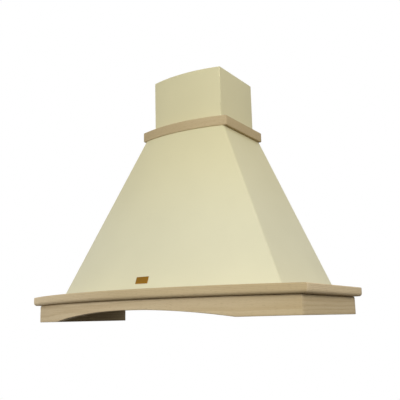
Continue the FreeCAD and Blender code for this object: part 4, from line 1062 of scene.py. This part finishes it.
def buttonMarks(name, x, y, z, sizes):
    # bars for the speeds, an open ring for off, a small ring with rays for the light
    if name in buttonBars:
        count = buttonBars[name]
        lift = sizes["markHeight"]
        half = (sizes["bar"] / 2, sizes["barLength"] / 2)
        places = x + (np.arange(count) - (count - 1) / 2) * sizes["barPitch"]
        return [roundedBox((place - half[0], y - half[1], z - lift), (place + half[0], y + half[1], z + lift),
                           sizes["markEdge"], steps=3) for place in places]
    if name == "off_button":
        return [ringMark(x, y, z, sizes["ring"], sizes)]
    shells = [ringMark(x, y, z, sizes["lightRing"], sizes)]
    for turn in np.arange(sizes["rays"]) * 2 * np.pi / sizes["rays"]:
        way = np.array([math.cos(turn), math.sin(turn), 0])
        start = np.array([x, y, z]) + way * sizes["ring"]
        ray = start + way * sizes["ray"] * np.array([[0], [0.5], [1]])
        shells.append(tubeAlong(ray, sizes["rayWire"], sides=8))
    return shells


for name in ("light_button", "off_button", "low_speed_button", "medium_speed_button", "high_speed_button"):
    low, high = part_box(name)
    x, y = (low.x + high.x) / 2, (low.y + high.y) / 2
    rimWidth = buttonSizes["rimWidth"]
    root = linerFoot + buttonSizes["root"]
    cap = roundedBox((low.x + rimWidth, low.y + rimWidth, low.z),
                     (high.x - rimWidth, high.y - rimWidth, root), buttonSizes["edge"], steps=6)
    rim = roundedBox((low.x, low.y, linerFoot), (high.x, high.y, linerFoot + buttonSizes["rim"]),
                     buttonSizes["rimEdge"], steps=3)
    stem, stemEdge = buttonSizes["stem"], buttonSizes["stemEdge"]
    rod = lathe([(0, root), (stem, root), (stem, high.z - stemEdge), (stem - stemEdge, high.z), (0, high.z)],
                (x, y, 0), steps=24)
    addPiece(name + "_cap", [cap, rim, rod], finishes["button"], body=name,
             replaced=[name])
    addPiece(name + "_mark", buttonMarks(name, x, y, low.z, buttonSizes), finishes["mark"], body=name)
print("buttons made")


# Stage, light and camera

stageSizes = {"floorDrop": 1.65, "floorHalf": 30.0, "floorTone": (0.05, 0.035, 0.015, 1), "floorRough": 0.9}
floorZ = cadLow.z - stageSizes["floorDrop"]
floorMesh = bpy.data.meshes.new("floor")
half = stageSizes["floorHalf"]
floorCorners = [(x * half, y * half, floorZ) for x, y in ((-1, -1), (1, -1), (1, 1), (-1, 1))]
floorMesh.from_pydata(floorCorners, [], [(0, 1, 2, 3)])
floor = bpy.data.objects.new("floor", floorMesh)
bpy.context.scene.collection.objects.link(floor)


def seenRay(tree):
    # 1 for rays that show the backdrop: camera, mirror and glass rays that have met no matt surface
    path = tree.nodes.new("ShaderNodeLightPath")
    first = maths(tree, "MAXIMUM", path.outputs["Is Camera Ray"], path.outputs["Is Glossy Ray"])
    shown = maths(tree, "MAXIMUM", first, path.outputs["Is Transmission Ray"])
    return maths(tree, "MULTIPLY", shown, maths(tree, "LESS_THAN", path.outputs["Diffuse Depth"], 0.5))


# the floor is seen white, but throws only a little warm light up into the hood
floorMaterial = bpy.data.materials.new("paleFloor")
floorMaterial.use_nodes = True
floorTree = floorMaterial.node_tree
floorShader = floorTree.nodes["Principled BSDF"]
floorShader.inputs["Base Color"].default_value = stageSizes["floorTone"]
floorShader.inputs["Roughness"].default_value = stageSizes["floorRough"]
floorGlow = floorTree.nodes.new("ShaderNodeEmission")
floorMix = floorTree.nodes.new("ShaderNodeMixShader")
feed(floorTree, floorMix.inputs[0], seenRay(floorTree))
feed(floorTree, floorMix.inputs[1], floorShader.outputs[0])
feed(floorTree, floorMix.inputs[2], floorGlow.outputs[0])
feed(floorTree, floorTree.nodes["Material Output"].inputs["Surface"], floorMix.outputs[0])
floorMesh.materials.append(floorMaterial)

worldLight = {"ambient": 0.54, "colour": (1.0, 0.985, 0.94, 1)}
world = bpy.data.worlds.new("studio")
bpy.context.scene.world = world
world.use_nodes = True
worldTree = world.node_tree
ambient = worldTree.nodes["Background"]
ambient.inputs["Color"].default_value = worldLight["colour"]
ambient.inputs["Strength"].default_value = worldLight["ambient"]
white = worldTree.nodes.new("ShaderNodeBackground")
white.inputs["Color"].default_value = (1, 1, 1, 1)
white.inputs["Strength"].default_value = 1.0
worldMix = worldTree.nodes.new("ShaderNodeMixShader")
feed(worldTree, worldMix.inputs[0], seenRay(worldTree))
feed(worldTree, worldMix.inputs[1], ambient.outputs[0])
feed(worldTree, worldMix.inputs[2], white.outputs[0])
feed(worldTree, worldTree.nodes["World Output"].inputs["Surface"], worldMix.outputs[0])

softboxes = [
    {"name": "keySoftbox", "place": (1.2, -2.64, 0.2), "width": 2.2, "height": 1.1, "power": 40.5,
     "colour": (0.97, 0.985, 1.0)},
    {"name": "rightSoftbox", "place": (2.1, -0.65, 0.5), "width": 1.2, "height": 0.8, "power": 11,
     "colour": (1.0, 0.95, 0.85)},
    {"name": "leftSoftbox", "place": (-1.9, -2.1, -0.35), "width": 1.4, "height": 0.8, "power": 13,
     "colour": (1.0, 0.98, 0.92)},
]
lightAim = Vector((0, -0.35, -0.15))
for sizes in softboxes:
    lamp = bpy.data.lights.new(sizes["name"], "AREA")
    lamp.shape = "RECTANGLE"
    lamp.size = sizes["width"]
    lamp.size_y = sizes["height"]
    lamp.energy = sizes["power"]
    lamp.color = sizes["colour"]
    holder = bpy.data.objects.new(sizes["name"], lamp)
    bpy.context.scene.collection.objects.link(holder)
    holder.location = sizes["place"]
    holder.rotation_euler = (lightAim - holder.location).to_track_quat("-Z", "Y").to_euler()

cameraSizes = {"place": (0.9947, -1.7328, -0.4772), "yaw": 32.0436, "pitch": 11.2099, "roll": -1.481,
               "lens": 54.5025, "sensor": 36.0}
yaw, pitch, roll = (math.radians(cameraSizes[key]) for key in ("yaw", "pitch", "roll"))
ahead = Vector((-math.sin(yaw) * math.cos(pitch), math.cos(yaw) * math.cos(pitch), math.sin(pitch)))
level = Vector((math.cos(yaw), math.sin(yaw), 0))
upright = level.cross(ahead)
right = level * math.cos(roll) + upright * math.sin(roll)
top = upright * math.cos(roll) - level * math.sin(roll)
camera = bpy.data.objects.new("camera", bpy.data.cameras.new("camera"))
bpy.context.scene.collection.objects.link(camera)
camera.data.lens = cameraSizes["lens"]
camera.data.sensor_width = cameraSizes["sensor"]
turned = Matrix((right, top, -ahead)).transposed().to_4x4()
camera.matrix_world = Matrix.Translation(cameraSizes["place"]) @ turned
bpy.context.scene.camera = camera
bpy.context.scene.view_settings.view_transform = "Standard"
print("stage, light and camera set")
